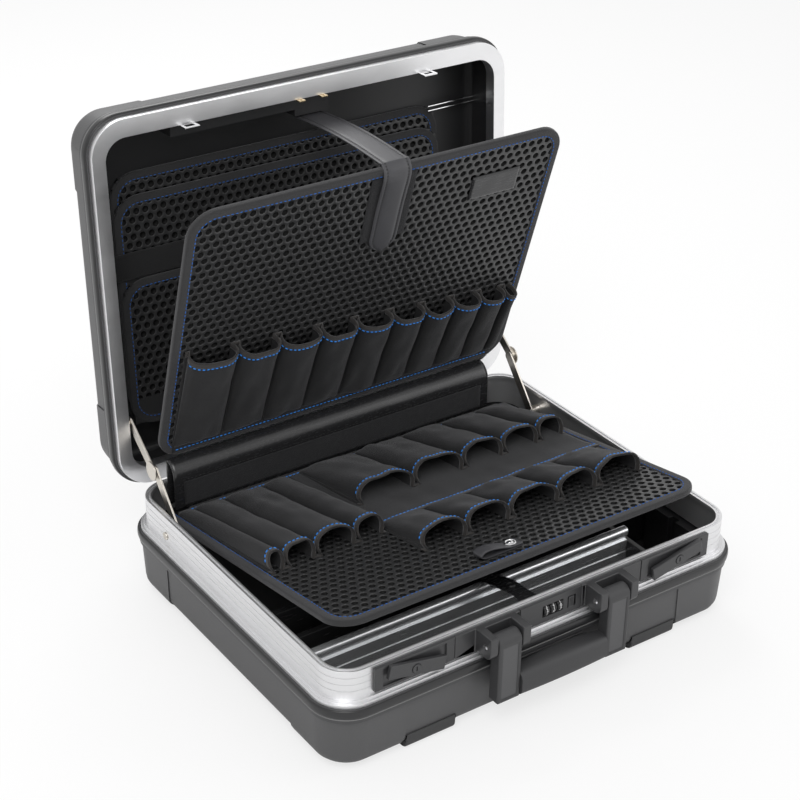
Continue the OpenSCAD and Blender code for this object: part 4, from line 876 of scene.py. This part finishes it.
def belt_bead(node, to_shell, top, down):
    """A bead and an edge from height top on. down is -1 in the base and 1 in the lid."""
    # The second sweep is a thin pale line, a painted highlight along the belt's lower edge.
    for name, section, drop, finish in (("_bead", BEAD_SECTION, BEAD_DROP, BEAD),
            ("_painted_highlight_line", EDGE_SECTION, EDGE_DROP, EDGE_HIGHLIGHT)):
        middle = Matrix.Translation((0, -BELT_HALF_DEPTH, top + down * drop))
        trim_piece(node + name, sweep(BELT_LINE, section, closed=True), finish, node, to_shell @ middle)
    print(node, "bead made")


belt_bead("base_shell", RIM_FRAME, -36, -1)
belt_bead("lid_shell", LID_FRAME, 8.3, 1)

# %% [markdown]
# ## Pockets
# A row of pockets is one strip of cloth, sewn flat at its bottom and between the pockets,
# and gathered so that each mouth stands open. Seen from its mouth a pocket is a loop with a
# neck: it leaves the board steeply, touches its neighbour halfway up and closes over the
# top. The strip is a grid whose vertices go to such loops, which grow from the sewn bottom
# to the mouth. A pale tape is folded over the mouths, and blue stitches hold it.

# %% One row of pockets
LOOP_STEPS = 26
SLEEVE_STEPS = 34
STITCH_STEPS = 32
LENGTH_STEPS = 40
CLOTH_THICK = 1.1
RIM_DEPTH = 5.5
SEAM_UNDER_RIM = 0.7
SEAM_OFF_CLOTH = 0.9
FLAT_HEIGHT = 1.8
SEWN = 0.04
STITCHED = 0.12


def wrinkle(place, size, amount):
    """A soft fold of the cloth, up to amount, whose folds are about size apart."""
    return noise.noise(place / size) * amount


class PocketRow:
    """A row of pockets in a board's frame, from the seam at its bottom to its mouths."""

    def __init__(self, widths, left, bottom, mouth, height, base=BOARD_HALF_THICK, slope=0.0):
        self.slope = slope
        self.widths = widths
        self.bottom = bottom
        self.mouth = mouth
        self.height = height
        self.base = base
        self.edges = [left + sum(widths[:k]) for k in range(len(widths) + 1)]

    def spot(self, k, f, t):
        """The place on pocket k, f from 0 to 1 round its loop and t from its bottom to its mouth."""
        width = self.widths[k]
        middle = (self.edges[k] + self.edges[k + 1]) / 2
        rise = self.height * min(1.0, 0.86 + width / 300)
        grown = FLAT_HEIGHT + (rise - FLAT_HEIGHT) * t ** 0.62
        turn = math.pi * min(max((f - SEWN) / (1 - 2 * SEWN), 0), 1)
        lift = math.sin(turn) ** (0.95 - 0.35 * t)
        side = -math.copysign(abs(math.cos(turn)) ** (1 - 0.25 * t), math.cos(turn))
        neck = (1.5 + 2.8 * t) * math.exp(-4.5 * lift)
        x = middle + side * (width / 2 - 0.6 - neck)
        if f < SEWN:
            x = self.edges[k] + (x - self.edges[k]) * f / SEWN
        if f > 1 - SEWN:
            x = self.edges[k + 1] + (x - self.edges[k + 1]) * (1 - f) / SEWN
        z = grown * lift
        sag = math.sin(math.pi * t) * grown * 0.06 * lift
        along = self.bottom + (self.mouth - x * self.slope - self.bottom) * t
        along += t * t * (3.2 * (1 - lift) - 1.6 * lift)
        place = Vector((x, along, self.base + 0.3 + z - sag))
        give = lift * min(1, (width / 40))
        fold = wrinkle(Vector((x, along * 0.35, 7.3 * k)), 13, 2.2 * (1 - 0.55 * t))
        fold += wrinkle(Vector((x * 1.3, along, 3.1 * k + 40)), 26, 1.5)
        place.z += fold * give
        place.y += wrinkle(Vector((x, 5.0 * k, 11)), 17, 2.2) * t * t * give
        place.z = max(place.z, self.base + 0.3)
        return place

    def cloth(self, low=0.0, steps=SLEEVE_STEPS):
        """The strip of cloth, from a share of the pockets' depth up to their mouths."""
        count = len(self.widths)

        def shape(u, v):
            k = min(int(u * count), count - 1)
            return self.spot(k, u * count - k, low + (1 - low) * v)

        return skin(LOOP_STEPS * count, steps, shape)

    def out(self, k, f, t):
        """The direction that the cloth faces there."""
        f = min(max(f, 0.06), 0.94)
        t = min(t, 0.99)
        round_it = self.spot(k, f + 0.02, t) - self.spot(k, f - 0.02, t)
        down_it = self.spot(k, f, t + 0.01) - self.spot(k, f, t - 0.01 if t > 0.01 else 0)
        return round_it.cross(down_it).normalized()

    def mouth_length(self):
        """The length of the strip's edge round all the mouths."""
        spots = [self.spot(k, step / LENGTH_STEPS, 1) for k in range(len(self.widths))
            for step in range(LENGTH_STEPS + 1)]
        return sum((b - a).length for a, b in zip(spots, spots[1:]))

    def stitches(self, t):
        """Paths for the blue seams round the mouths."""
        paths = []
        for k in range(len(self.widths)):
            path = []
            for step in range(STITCH_STEPS + 1):
                f = STITCHED + (1 - 2 * STITCHED) * step / STITCH_STEPS
                rise = self.out(k, f, t)
                path.append((self.spot(k, f, t) + rise * SEAM_OFF_CLOTH, Vector((0, 1, 0)), rise))
            paths.append(path)
        return paths


def pocket_row(name, row, stands_for, place):
    """The cloth, the rim tape and the seams of one row of pockets."""
    bm = row.cloth()
    area = sum(face.calc_area() for face in bm.faces) * MM * MM
    obj = sheet_piece(name, bm, CLOTH, stands_for, place, CLOTH_THICK)
    length = row.mouth - row.bottom
    tape = sheet_piece(name + "_rim_tape", row.cloth(1 - RIM_DEPTH / length, 3), RIM_TAPE, stands_for,
        place, CLOTH_THICK + 0.7, added=True)
    paths = row.stitches(1 - (RIM_DEPTH + SEAM_UNDER_RIM) / length)
    thread = seam(name + "_seam", paths, stands_for[0], place)
    round_mouths = row.mouth_length()
    print(name, "has", len(row.widths), "pockets,", round(length), "mm deep")


# %% The upper board's row of ten
UPPER_WIDTHS = [56, 48, 48, 44, 44, 40, 38, 36, 32, 15]
MOUTH_SLOPE = math.tan(math.radians(5.3))
upper_row = PocketRow(UPPER_WIDTHS, -198.5, 13, 121, 18, slope=MOUTH_SLOPE)
pocket_row("upper_pocket_cloth", upper_row, ["upper_pockets_left", "upper_pockets_right"], UPPER_FRAME)

# %% The lower board's three rows
PANEL_LEFT = -74.5
PANEL_RIGHT = 201
PANEL_FROM = 12
PANEL_TO = 186

long_row = PocketRow([18, 34, 45, 32], -202.5, 14, 195, 21)
middle_row = PocketRow([69, 61, 51, 46, 34], -60, 12, 128, 22, base=BOARD_HALF_THICK + 1.2)
short_row = PocketRow([53, 51, 60, 48, 56], -72, 180, 256, 21.5)


def panel_spot(u, v):
    """The flat cloth between the two rows. Its far edge stands over the short pockets' necks."""
    x = PANEL_LEFT + (PANEL_RIGHT - PANEL_LEFT) * u
    y = PANEL_FROM + (PANEL_TO - PANEL_FROM) * v
    edge = max(0, v - 0.8) / 0.2
    z = BOARD_HALF_THICK + 0.9 + 2.6 * edge ** 1.6
    z += wrinkle(Vector((x, y, 91)), 34, 0.9) + wrinkle(Vector((x, y * 0.4, 17)), 15, 0.5) * v
    return Vector((x, y + 1.2 * wrinkle(Vector((x, 0, 5)), 40, 1.0) * v, z))


PANEL_DEPTH = PANEL_TO - PANEL_FROM
PANEL_STEPS = 90
sheet_piece("lower_flat_panel", skin(PANEL_STEPS, 44, panel_spot), CLOTH, ["lower_pockets_middle"],
    LOWER_FRAME, CLOTH_THICK, added=True)
bm = skin(PANEL_STEPS, 3, lambda u, v: panel_spot(u, 1 - RIM_DEPTH / PANEL_DEPTH * (1 - v)))
sheet_piece("lower_flat_panel_tape", bm, RIM_TAPE, ["lower_pockets_middle"], LOWER_FRAME,
    CLOTH_THICK + 1.1, added=True)
share = 1 - (RIM_DEPTH + SEAM_UNDER_RIM) / PANEL_DEPTH
path = [(panel_spot(step / PANEL_STEPS, share) + Vector((0, 0, SEAM_OFF_CLOTH)), Vector((0, 1, 0)),
    Vector((0, 0, 1))) for step in range(PANEL_STEPS + 1)]
seam("lower_flat_panel_seam", [path], "lower_pockets_middle", LOWER_FRAME)

for name, row, node in (("long_pocket_cloth", long_row, "lower_pockets_left"),
        ("middle_pocket_cloth", middle_row, "lower_pockets_middle"),
        ("short_pocket_cloth", short_row, "lower_pockets_short")):
    pocket_row(name, row, [node], LOWER_FRAME)

# %% [markdown]
# ## The hems
# The pockets' bottoms are caught under a folded hem along each board's rear edge, and a
# bright blue seam runs along it. On the lower board this hem is also the fabric hinge.

# %% Hems and their seams
HEM_HALF = 4.3
HEM_REACH = 184
HEM_SECTION = flat_oval(-HEM_HALF, HEM_HALF, 2.3, 16, 0.5)
path = [(Vector((x, HEM_HALF, 0)), Vector((0, 1, 0)), Vector((0, 0, 1)))
    for x in range(-HEM_REACH, HEM_REACH + 1, 4)]
finish_piece("lower_hem_cloth", sweep(path, HEM_SECTION), CLOTH, ["lower_hem"], LOWER_FRAME)


def hem_strip(name, beside, place, low, high, half):
    """A flat folded strip of cloth over the pockets' bottoms, with a blue seam near its edge."""
    bm = skin(120, 5, lambda u, v: Vector(((2 * u - 1) * half, low + (high - low) * v,
        BOARD_HALF_THICK + 0.8 + 0.4 * math.sin(math.pi * v)
        + wrinkle(Vector((u * 400, v * 9, 3)), 22, 0.2))))
    sheet_piece(name, bm, CLOTH, [beside], place, 0.8, added=True)
    y = low + (high - low) * 0.42
    path = [(Vector((x, y, BOARD_HALF_THICK + 1.7)), Vector((0, 1, 0)), Vector((0, 0, 1)))
        for x in range(round(-half) + 3, round(half) - 2, 4)]
    seam(name + "_seam", [path], beside, place, thick=1.1)


hem_strip("upper_hem_strip", "upper_board", UPPER_FRAME, 4, 16, 198)
hem_strip("lower_hem_strip", "lower_board", LOWER_FRAME, HEM + 1.5, 20, 200)

# %% [markdown]
# ## The spine and the tongue
# Between the boards runs a roll of artificial leather with a smooth round shoulder that
# catches one long highlight. A rough strip of loop fastener is sewn to its upright face. The
# tongue that holds the lower board's free edge is a leather strip with a ring and a stud.

# %% Leather spine
SPINE_LEFT = -204
SPINE_RIGHT = 186
SPINE_FACE = 156
SPINE_TOP = 31.58
SPINE_FOOT = -21
SPINE_BACK = 172.8
SHOULDER = 16


def spine_spot(u, v):
    """u from the foot of the upright face over the shoulder to the back, v along the roll."""
    x = SPINE_LEFT + (SPINE_RIGHT - SPINE_LEFT) * v
    upright = SPINE_TOP - SHOULDER - SPINE_FOOT
    bend = SHOULDER * math.pi / 2
    walked = u * (upright + bend + 1 + SPINE_TOP - SPINE_FOOT)
    if walked < upright:
        y, z = SPINE_FACE, SPINE_FOOT + walked
    elif walked < upright + bend:
        turn = (walked - upright) / SHOULDER
        y = SPINE_FACE + SHOULDER * (1 - math.cos(turn))
        z = SPINE_TOP - SHOULDER * (1 - math.sin(turn))
    else:
        y = SPINE_BACK
        z = SPINE_TOP - (walked - upright - bend) * 0.98
    give = max(0, 1 - abs(walked - upright - bend / 2) / 22)
    dent = wrinkle(Vector((x, walked * 2.2, 60)), 42, 0.8) * give
    return Vector((x, y + abs(dent) * 0.5, z - abs(dent) * 0.5))


sheet_piece("spine_leather", skin(48, 90, spine_spot), SPINE, ["spine"], RIM_FRAME, 1.9, -1,
    out=(0, -1, 0.4))


def fuzz_spot(u, v):
    """The rough strip, u along the roll and v up its face."""
    x = SPINE_LEFT + 10 + (SPINE_RIGHT - SPINE_LEFT - 20) * u
    edge = min(1, min(u, 1 - u) * 120, min(v, 1 - v) * 9)
    return Vector((x, SPINE_FACE - 0.5 - 0.9 * edge ** 0.5 - wrinkle(Vector((x, v * 30, 8)), 5, 0.25),
        -17.6 + 27.5 * v))


sheet_piece("spine_loop_strip", skin(240, 14, fuzz_spot), FUZZ, ["spine"], RIM_FRAME, 0.6, -1,
    out=(0, -1, 0), added=True)
path = [(Vector((x, SPINE_FACE - 0.2, 12.3)), Vector((0, 0, 1)), Vector((0, -1, 0)))
    for x in range(SPINE_LEFT + 8, SPINE_RIGHT - 7, 4)]
seam("spine_seam", [path], "spine", RIM_FRAME, thread=DARK_THREAD, thick=0.7)

# %% Closing tongue
TONGUE_X = -14
TONGUE_ROOT = -183.4
TONGUE_REACH = 76
TONGUE_HALF = 10
TONGUE_DROP = 7
TONGUE_ARCH = 4
TONGUE_FALL = 14.7


def tongue_height(t):
    """The tongue's height at a share t of its reach, as it arches down to the board."""
    return -TONGUE_DROP + TONGUE_ARCH * math.sin(math.pi * t) - TONGUE_FALL * t


def tongue_spot(u, v):
    """The tongue is narrower at its waist than at its round head."""
    turn = max(0, (v - 0.87) / 0.13)
    half = TONGUE_HALF * (1 - 0.16 * math.exp(-((v - 0.32) / 0.16) ** 2)) * math.sqrt(1 - turn * turn)
    side = 2 * u - 1
    round_edge = 0.5 * abs(side) ** 6
    y = TONGUE_ROOT + TONGUE_REACH * v
    return Vector((TONGUE_X + side * half, y, tongue_height(v) + 1.9 - round_edge))


bm = skin(16, 48, tongue_spot)
bmesh.ops.remove_doubles(bm, verts=bm.verts, dist=0.01)
sheet_piece("closing_tongue_leather", bm, SPINE, ["closing_tongue"], RIM_FRAME, 1.8, -1)


STUD_PROFILE = [(1.0, 0.0), (1.0, 0.55), (0.9, 0.85), (0.78, 0.9), (0.7, 0.6), (0.62, 0.5),
    (0.55, 0.75), (0.35, 0.98), (0.0, 1.05)]


def stud(name, beside, place, radius, finish, stands=1.8):
    """A press stud: a ring round a domed cap. place takes the stud's own mm to the scene."""
    bm = bmesh.new()
    start = [bm.verts.new((radius * r, 0, stands * z)) for r, z in STUD_PROFILE]
    for a, b in zip(start, start[1:]):
        bm.edges.new((a, b))
    bmesh.ops.spin(bm, geom=bm.verts[:] + bm.edges[:], cent=(0, 0, 0), axis=(0, 0, 1),
        angle=2 * math.pi, steps=32, use_merge=True)
    bmesh.ops.remove_doubles(bm, verts=bm.verts, dist=0.001)
    rim = [edge for edge in bm.edges if edge.is_boundary]
    bmesh.ops.edgeloop_fill(bm, edges=rim)
    bmesh.ops.recalc_face_normals(bm, faces=bm.faces)
    return trim_piece(name, bm, finish, beside, place, sharp=35)


STUD_AT = 0.48
tilt = math.atan2(tongue_height(0.5) - tongue_height(0.46), 0.04 * TONGUE_REACH)
on_tongue = (RIM_FRAME @ Matrix.Translation((TONGUE_X, TONGUE_ROOT + TONGUE_REACH * STUD_AT,
    tongue_height(STUD_AT) + 1.8)) @ Matrix.Rotation(tilt, 4, "X"))
stud("tongue_stud", "closing_tongue", on_tongue, 4.5, DIAL)

# %% [markdown]
# ## The strap
# A padded leather strap comes out of the lid, passes over the upper board's top edge
# and sticks to it by its round end. Its edges are thinner than its middle, and a dark double row
# of stitches follows them. It is two pieces, the free stretch and the end that lies on the
# board.

# %% Strap, its round end and what lies on the upper board
STRAP_X = 9
STRAP_HALF = 16
STRAP_SECTION = [(-1, 0.25), (-0.985, 0.7), (-0.93, 0.95), (-0.80, 0.92), (-0.755, 0.62), (-0.70, 1.0),
    (-0.45, 1.3), (0, 1.42), (0.45, 1.3), (0.70, 1.0), (0.755, 0.62), (0.80, 0.92), (0.93, 0.95),
    (0.985, 0.7), (1, 0.25)]
STRAP_BAND = STRAP_SECTION + [(a, -t * 0.75) for a, t in reversed(STRAP_SECTION)]
STRAP_STITCH = {"thread": DARK_THREAD, "pitch": 3.2, "length": 2.4, "thick": 0.6}
STITCH_SHARE = 0.755
STITCH_GAP = 0.035


def smooth_path(points, steps):
    """Catmull-Rom through points, as a list of Vectors."""
    path = []
    ends = [2 * points[0] - points[1]] + points + [2 * points[-1] - points[-2]]
    for a, b, c, d in zip(ends, ends[1:], ends[2:], ends[3:]):
        for i in range(steps):
            t = i / steps
            path.append(0.5 * ((2 * b) + (c - a) * t + (2 * a - 5 * b + 4 * c - d) * t * t
                + (3 * b - a - 3 * c + d) * t * t * t))
    path.append(points[-1])
    return path


def strap_rings(path, half_at, toward):
    """Rings of (place, half width to the right, rise) for a sweep. toward says which side is up."""
    rings = []
    for j, place in enumerate(path):
        ahead = (path[min(j + 1, len(path) - 1)] - path[max(j - 1, 0)]).normalized()
        rise = Vector((1, 0, 0)).cross(ahead)
        if rise.dot(toward(j)) < 0:
            rise = -rise
        rings.append((place, Vector((half_at(j), 0, 0)), rise.normalized()))
    return rings


def strap_stitches(rings, lift=0.75):
    """Two rows of stitches near each edge, where the strap is nearly at its full width."""
    paths = []
    for side in (-1, 1):
        for share in (STITCH_SHARE - STITCH_GAP, STITCH_SHARE + STITCH_GAP):
            paths.append([(place + half * (side * share) + rise * lift, Vector((1, 0, 0)), rise)
                for place, half, rise in rings if half.x > STRAP_HALF * 0.6])
    return paths


BEND = Vector((0, 87.5, 332.3))
ROOT = Vector((0, 241.4, 330.9))
SPAN_STEPS = 24
SPAN_ARCH = 4
span = []
for step in range(SPAN_STEPS + 1):
    t = step / SPAN_STEPS
    span.append(BEND.lerp(ROOT, t) + Vector((STRAP_X, 0, SPAN_ARCH * math.sin(math.pi * t))))
rings = strap_rings(span, lambda j: STRAP_HALF, lambda j: Vector((0, 0, 1)))
strap = finish_piece("strap_leather_span", sweep(rings, STRAP_BAND), STRAP, ["strap_span"], RIM_FRAME,
    sharp=50)
thread = seam("strap_span_seam", strap_stitches(rings), "strap_span", RIM_FRAME, **STRAP_STITCH)
for piece in (strap, thread):
    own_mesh(piece)

STRAP_TIP = 210
lie = 4.4
corners = [Vector((STRAP_X, s, z)) for s, z in ((STRAP_TIP, lie), (STRAP_TIP + STRAP_HALF, lie), (240, lie),
    (262, lie + 0.1), (282, lie + 0.9), (298, lie + 1.6), (307, lie - 0.1), (312.4, -1.6), (312.6, -4.4))]
lying = smooth_path(corners, 8)


def tip_half(j):
    """The strap's end is a half circle."""
    reach = STRAP_HALF - (lying[j].y - STRAP_TIP)
    return STRAP_HALF if reach <= 0 else max(1.5, math.sqrt(STRAP_HALF ** 2 - reach ** 2))


rings = strap_rings(lying, tip_half, lambda j: Vector((0, 1 if lying[j].y > 306 else 0, 1)))
finish_piece("strap_leather_end", sweep(rings, STRAP_BAND), STRAP, ["upper_trim"], UPPER_FRAME, sharp=50)
TIP_STEPS = 18
TIP_ROUND = 12
tip = []
for step in range(TIP_STEPS + 1):
    turn = math.pi * (1 + step / TIP_STEPS)
    place = Vector((STRAP_X + math.cos(turn) * TIP_ROUND,
        STRAP_TIP + STRAP_HALF + math.sin(turn) * TIP_ROUND, lie + 0.9))
    tip.append((place, Vector((1, 0, 0)), Vector((0, 0, 1))))
seam("strap_end_seam", strap_stitches(rings) + [tip], "upper_trim", UPPER_FRAME, **STRAP_STITCH)


PATCH_STEP = 1.6
PATCH_BASE = 2.3


def pad_on_board(name, finish, x_low, x_high, low, high, height):
    """A flat patch with a soft rounded rim on the upper board."""

    def shape(u, v):
        x = x_low + (x_high - x_low) * u
        y = low + (high - low) * v
        near = min(x - x_low, x_high - x, y - low, high - y)
        z = PATCH_BASE + height * min(1, (near / PATCH_STEP + 0.2)) ** 0.5
        return Vector((x, y, z + wrinkle(Vector((x, y, PATCH_BASE)), 12, 0.25)))

    bm = skin(round((x_high - x_low) / PATCH_STEP), round((high - low) / PATCH_STEP), shape)
    rim = [edge for edge in bm.edges if edge.is_boundary]
    made = bmesh.ops.extrude_edge_only(bm, edges=rim)["geom"]
    for vertex in only(made, bmesh.types.BMVert):
        vertex.co.z = PATCH_BASE - 0.3
    bmesh.ops.recalc_face_normals(bm, faces=bm.faces)
    trim_piece(name, bm, finish, "upper_trim", UPPER_FRAME, sharp=60)


pad_on_board("strap_loop_strip", FUZZ, STRAP_X - 26, STRAP_X + 26, 223, 301, 0.9)
pad_on_board("upper_patch", SPINE, 108, 166, 243, 271, 1.5)

# %% Loop strap on the lower board
LOOP_LEFT = -46
LOOP_RIGHT = 2
LOOP_MIDDLE = 307
LOOP_HALF = 7
corners = [Vector((x, LOOP_MIDDLE, BOARD_HALF_THICK + z)) for x, z in ((LOOP_RIGHT, 1.4), (-14, 1.1),
    (-30, 1.2), (-41, 1.6), (LOOP_LEFT + 0.6, 4.4), (-41, 7.6), (-32, 7.8), (-20, 5.4), (-11, 3.2),
    (LOOP_RIGHT, 3.2))]
around = smooth_path(corners, 6)
path = []
for j, place in enumerate(around):
    ahead = (around[min(j + 1, len(around) - 1)] - around[max(j - 1, 0)]).normalized()
    path.append((place, Vector((0, 1, 0)), ahead.cross(Vector((0, 1, 0))).normalized()))
bm = sweep(path, flat_oval(-LOOP_HALF, LOOP_HALF, 0.8, 16, 0.5))
finish_piece("loop_strap_leather", bm, STRAP, ["loop_strap"], LOWER_FRAME, sharp=50)
on_loop = LOWER_FRAME @ Matrix.Translation((-8, LOOP_MIDDLE, BOARD_HALF_THICK + 3.9))
stud("loop_strap_stud", "loop_strap", on_loop, 6, CHROME, stands=2.0)

# %% [markdown]
# ## Boards in the lid
# Two thin dimpled boards lie against the lid's lining, one a step below the other, with a
# third board over them and a band of cloth across. They lie face down in the closed case,
# so their frame is the lid's, turned over.

# %% Boards in the lid
LID_BOARD_FRAME = LID_FRAME @ Matrix.Translation((-8, 0, 0)) @ Matrix.Rotation(math.pi, 4, "Y")
LID_BOARD_HALF = 194
LID_PLATE_INSET = 3
LID_TAPE_SECTION = flat_oval(-BINDING, 0.5, 1.68, 16, 0.4)


def lid_board(name, node, low, high, height, seen_to):
    """A board whose shown face lies height mm above the rim in the closed case.

    Only the part up to seen_to has dimples. A plain block makes the rest, which nothing shows.
    """
    half = LID_BOARD_HALF - LID_PLATE_INSET
    end = high - LID_PLATE_INSET
    bm = dimpled_plate(-half, half, low + LID_PLATE_INSET, seen_to, -height - 0.1, 2.7, 8)
    bmesh.ops.create_cube(bm, size=1, matrix=Matrix.Translation((0, (seen_to + end) / 2,
        -height - 1.5)) @ Matrix.Diagonal((2 * half, end - seen_to, 2.6, 1)))
    # The second material is the painted shade in the dimples.
    finish_piece(name, bm, [PLATE, DIMPLE_SHADE], [node], LID_BOARD_FRAME, sharp=50)
    line = outline(LID_BOARD_HALF, low, high, BOARD_ROUND)
    middle = Matrix.Translation((0, 0, -height - 1.5))
    tape = sweep(line, LID_TAPE_SECTION, closed=True)
    trim_piece(name + "_tape", tape, TAPE, node, LID_BOARD_FRAME @ middle)
    inner = shifted(line, -BINDING + SEAM_INSET, 1.7)
    seam(name + "_seam", [inner + inner[:1]], node, LID_BOARD_FRAME @ middle, thread=DEEP_THREAD,
        thick=0.9)


lid_board("lid_rear_dimpled", "lid_board_rear", -119.5, 140, 49.8, -86)
lid_board("lid_front_dimpled", "lid_board_front", -96.5, 140, 46.4, -28)
lid_board("lid_pocket_dimpled", "lid_pocket_board", -10, 150, 43, 120)

BAND_HALF = 202
BAND_FROM = -40
BAND_WIDTH = 28
BAND_HEIGHT = 44.4
bm = skin(100, 12, lambda u, v: Vector(((2 * u - 1) * BAND_HALF, BAND_FROM + BAND_WIDTH * v,
    -BAND_HEIGHT + 0.5 * math.sin(math.pi * v)
    + wrinkle(Vector((u * 400, v * BAND_WIDTH, 71)), 30, 0.5))))
sheet_piece("lid_band_cloth", bm, CLOTH, ["lid_band"], LID_BOARD_FRAME, 1.2)

# %% [markdown]
# ## Handle and number dials
# The arms are blocky mouldings with rounded tops and a thin-lined panel on their fronts. The
# grip is a soft bar that swells towards its middle. The three dials carry the numbers 0 to 9,
# painted white, so each number is a flat letter shape made a mesh and set on the wheel.

# %% Handle arms
PANEL_AREA = 300 * MM * MM

bm = rounded_copy("handle_arms", 1.8)
fronts = [face for face in bm.faces if face.normal.y < -0.999 and face.calc_area() > PANEL_AREA]
bmesh.ops.inset_individual(bm, faces=fronts, thickness=3.2 * MM, depth=0)
bmesh.ops.inset_individual(bm, faces=fronts, thickness=0.5 * MM, depth=-0.6 * MM)
for face in fronts:
    face.material_index = 1
print("arm panels:", len(fronts))
finish_piece("handle_arms_panelled", bm, [GRIP, PANEL], ["handle_arms"], Matrix.Identity(4),
    weighted=True)

# %% Handle grip
GRIP_HALF = 51
GRIP_Y = -206
GRIP_Z = -64


def grip_spot(u, v):
    """u round the grip's section, v along it."""
    x = (2 * v - 1) * GRIP_HALF
    full = 1 - (x / GRIP_HALF) ** 2
    turn = 2 * math.pi * u
    a, b = math.cos(turn), math.sin(turn)
    a = math.copysign(abs(a) ** 0.62, a)
    b = math.copysign(abs(b) ** 0.62, b)
    return Vector((x, GRIP_Y + a * (10.6 + 2.4 * full), GRIP_Z - 1 + 1.6 * full + b * (12.6 + 1.2 * full)))


bm = skin(40, 48, grip_spot)
bmesh.ops.remove_doubles(bm, verts=bm.verts, dist=0.001)
bmesh.ops.holes_fill(bm, edges=[edge for edge in bm.edges if edge.is_boundary], sides=0)
bmesh.ops.recalc_face_normals(bm, faces=bm.faces)
finish_piece("handle_grip_soft", bm, GRIP, ["handle_grip"], RIM_FRAME, sharp=60)

# %% Number dials
DIGIT_SIZE = 4.5
DIGIT_STEP = math.radians(36)
PAINT = 0.06


def digit_mesh(number):
    """A flat numeral as a mesh, centred, with its front towards z. Its size is in mm."""
    curve = bpy.data.curves.new("numeral", "FONT")
    curve.body = str(number)
    curve.size = DIGIT_SIZE
    curve.align_x = "CENTER"
    curve.align_y = "CENTER"
    curve.extrude = PAINT
    holder = bpy.data.objects.new("numeral", curve)
    bpy.context.scene.collection.objects.link(holder)
    bpy.context.view_layer.update()
    mesh = bpy.data.meshes.new_from_object(holder.evaluated_get(bpy.context.evaluated_depsgraph_get()))
    bpy.data.objects.remove(holder)
    return mesh


NUMERALS = [digit_mesh(number) for number in range(10)]
for k in (1, 2, 3):
    node = "dial_" + str(k)
    soften(node, 0.15, DIAL, 2)
    low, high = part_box(node)
    middle = RIM_FRAME.inverted() @ ((low + high) / 2)
    radius = (high.z - low.z) / 2 / MM
    bm = bmesh.new()
    for number in range(10):
        turn = DIGIT_STEP * (number + k)
        out = Vector((0, -math.sin(turn), -math.cos(turn)))
        rise = Vector((0, -math.cos(turn), math.sin(turn)))
        place = Matrix((Vector((1, 0, 0)), rise, out)).transposed().to_4x4()
        part = bmesh.new()
        part.from_mesh(NUMERALS[number])
        part.transform(Matrix.Translation(middle + out * (radius + 0.02)) @ place)
        mesh = bpy.data.meshes.new("numeral")
        part.to_mesh(mesh)
        part.free()
        bm.from_mesh(mesh)
        bpy.data.meshes.remove(mesh)
    trim_piece(node + "_numerals", bm, DIGIT, node, RIM_FRAME, sharp=30)
print("dials numbered, radius", round(radius, 2), "mm")

# %% [markdown]
# ## The finished size
# The sizes of the imported case and of the dressed one are printed side by side.

# %% Print the two boxes
DRESSED_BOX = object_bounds()
for name, (low, high) in (("packed", CAD_BOX), ("dressed", DRESSED_BOX)):
    print(name, "size in mm:", [round((b - a) / MM, 1) for a, b in zip(low, high)])
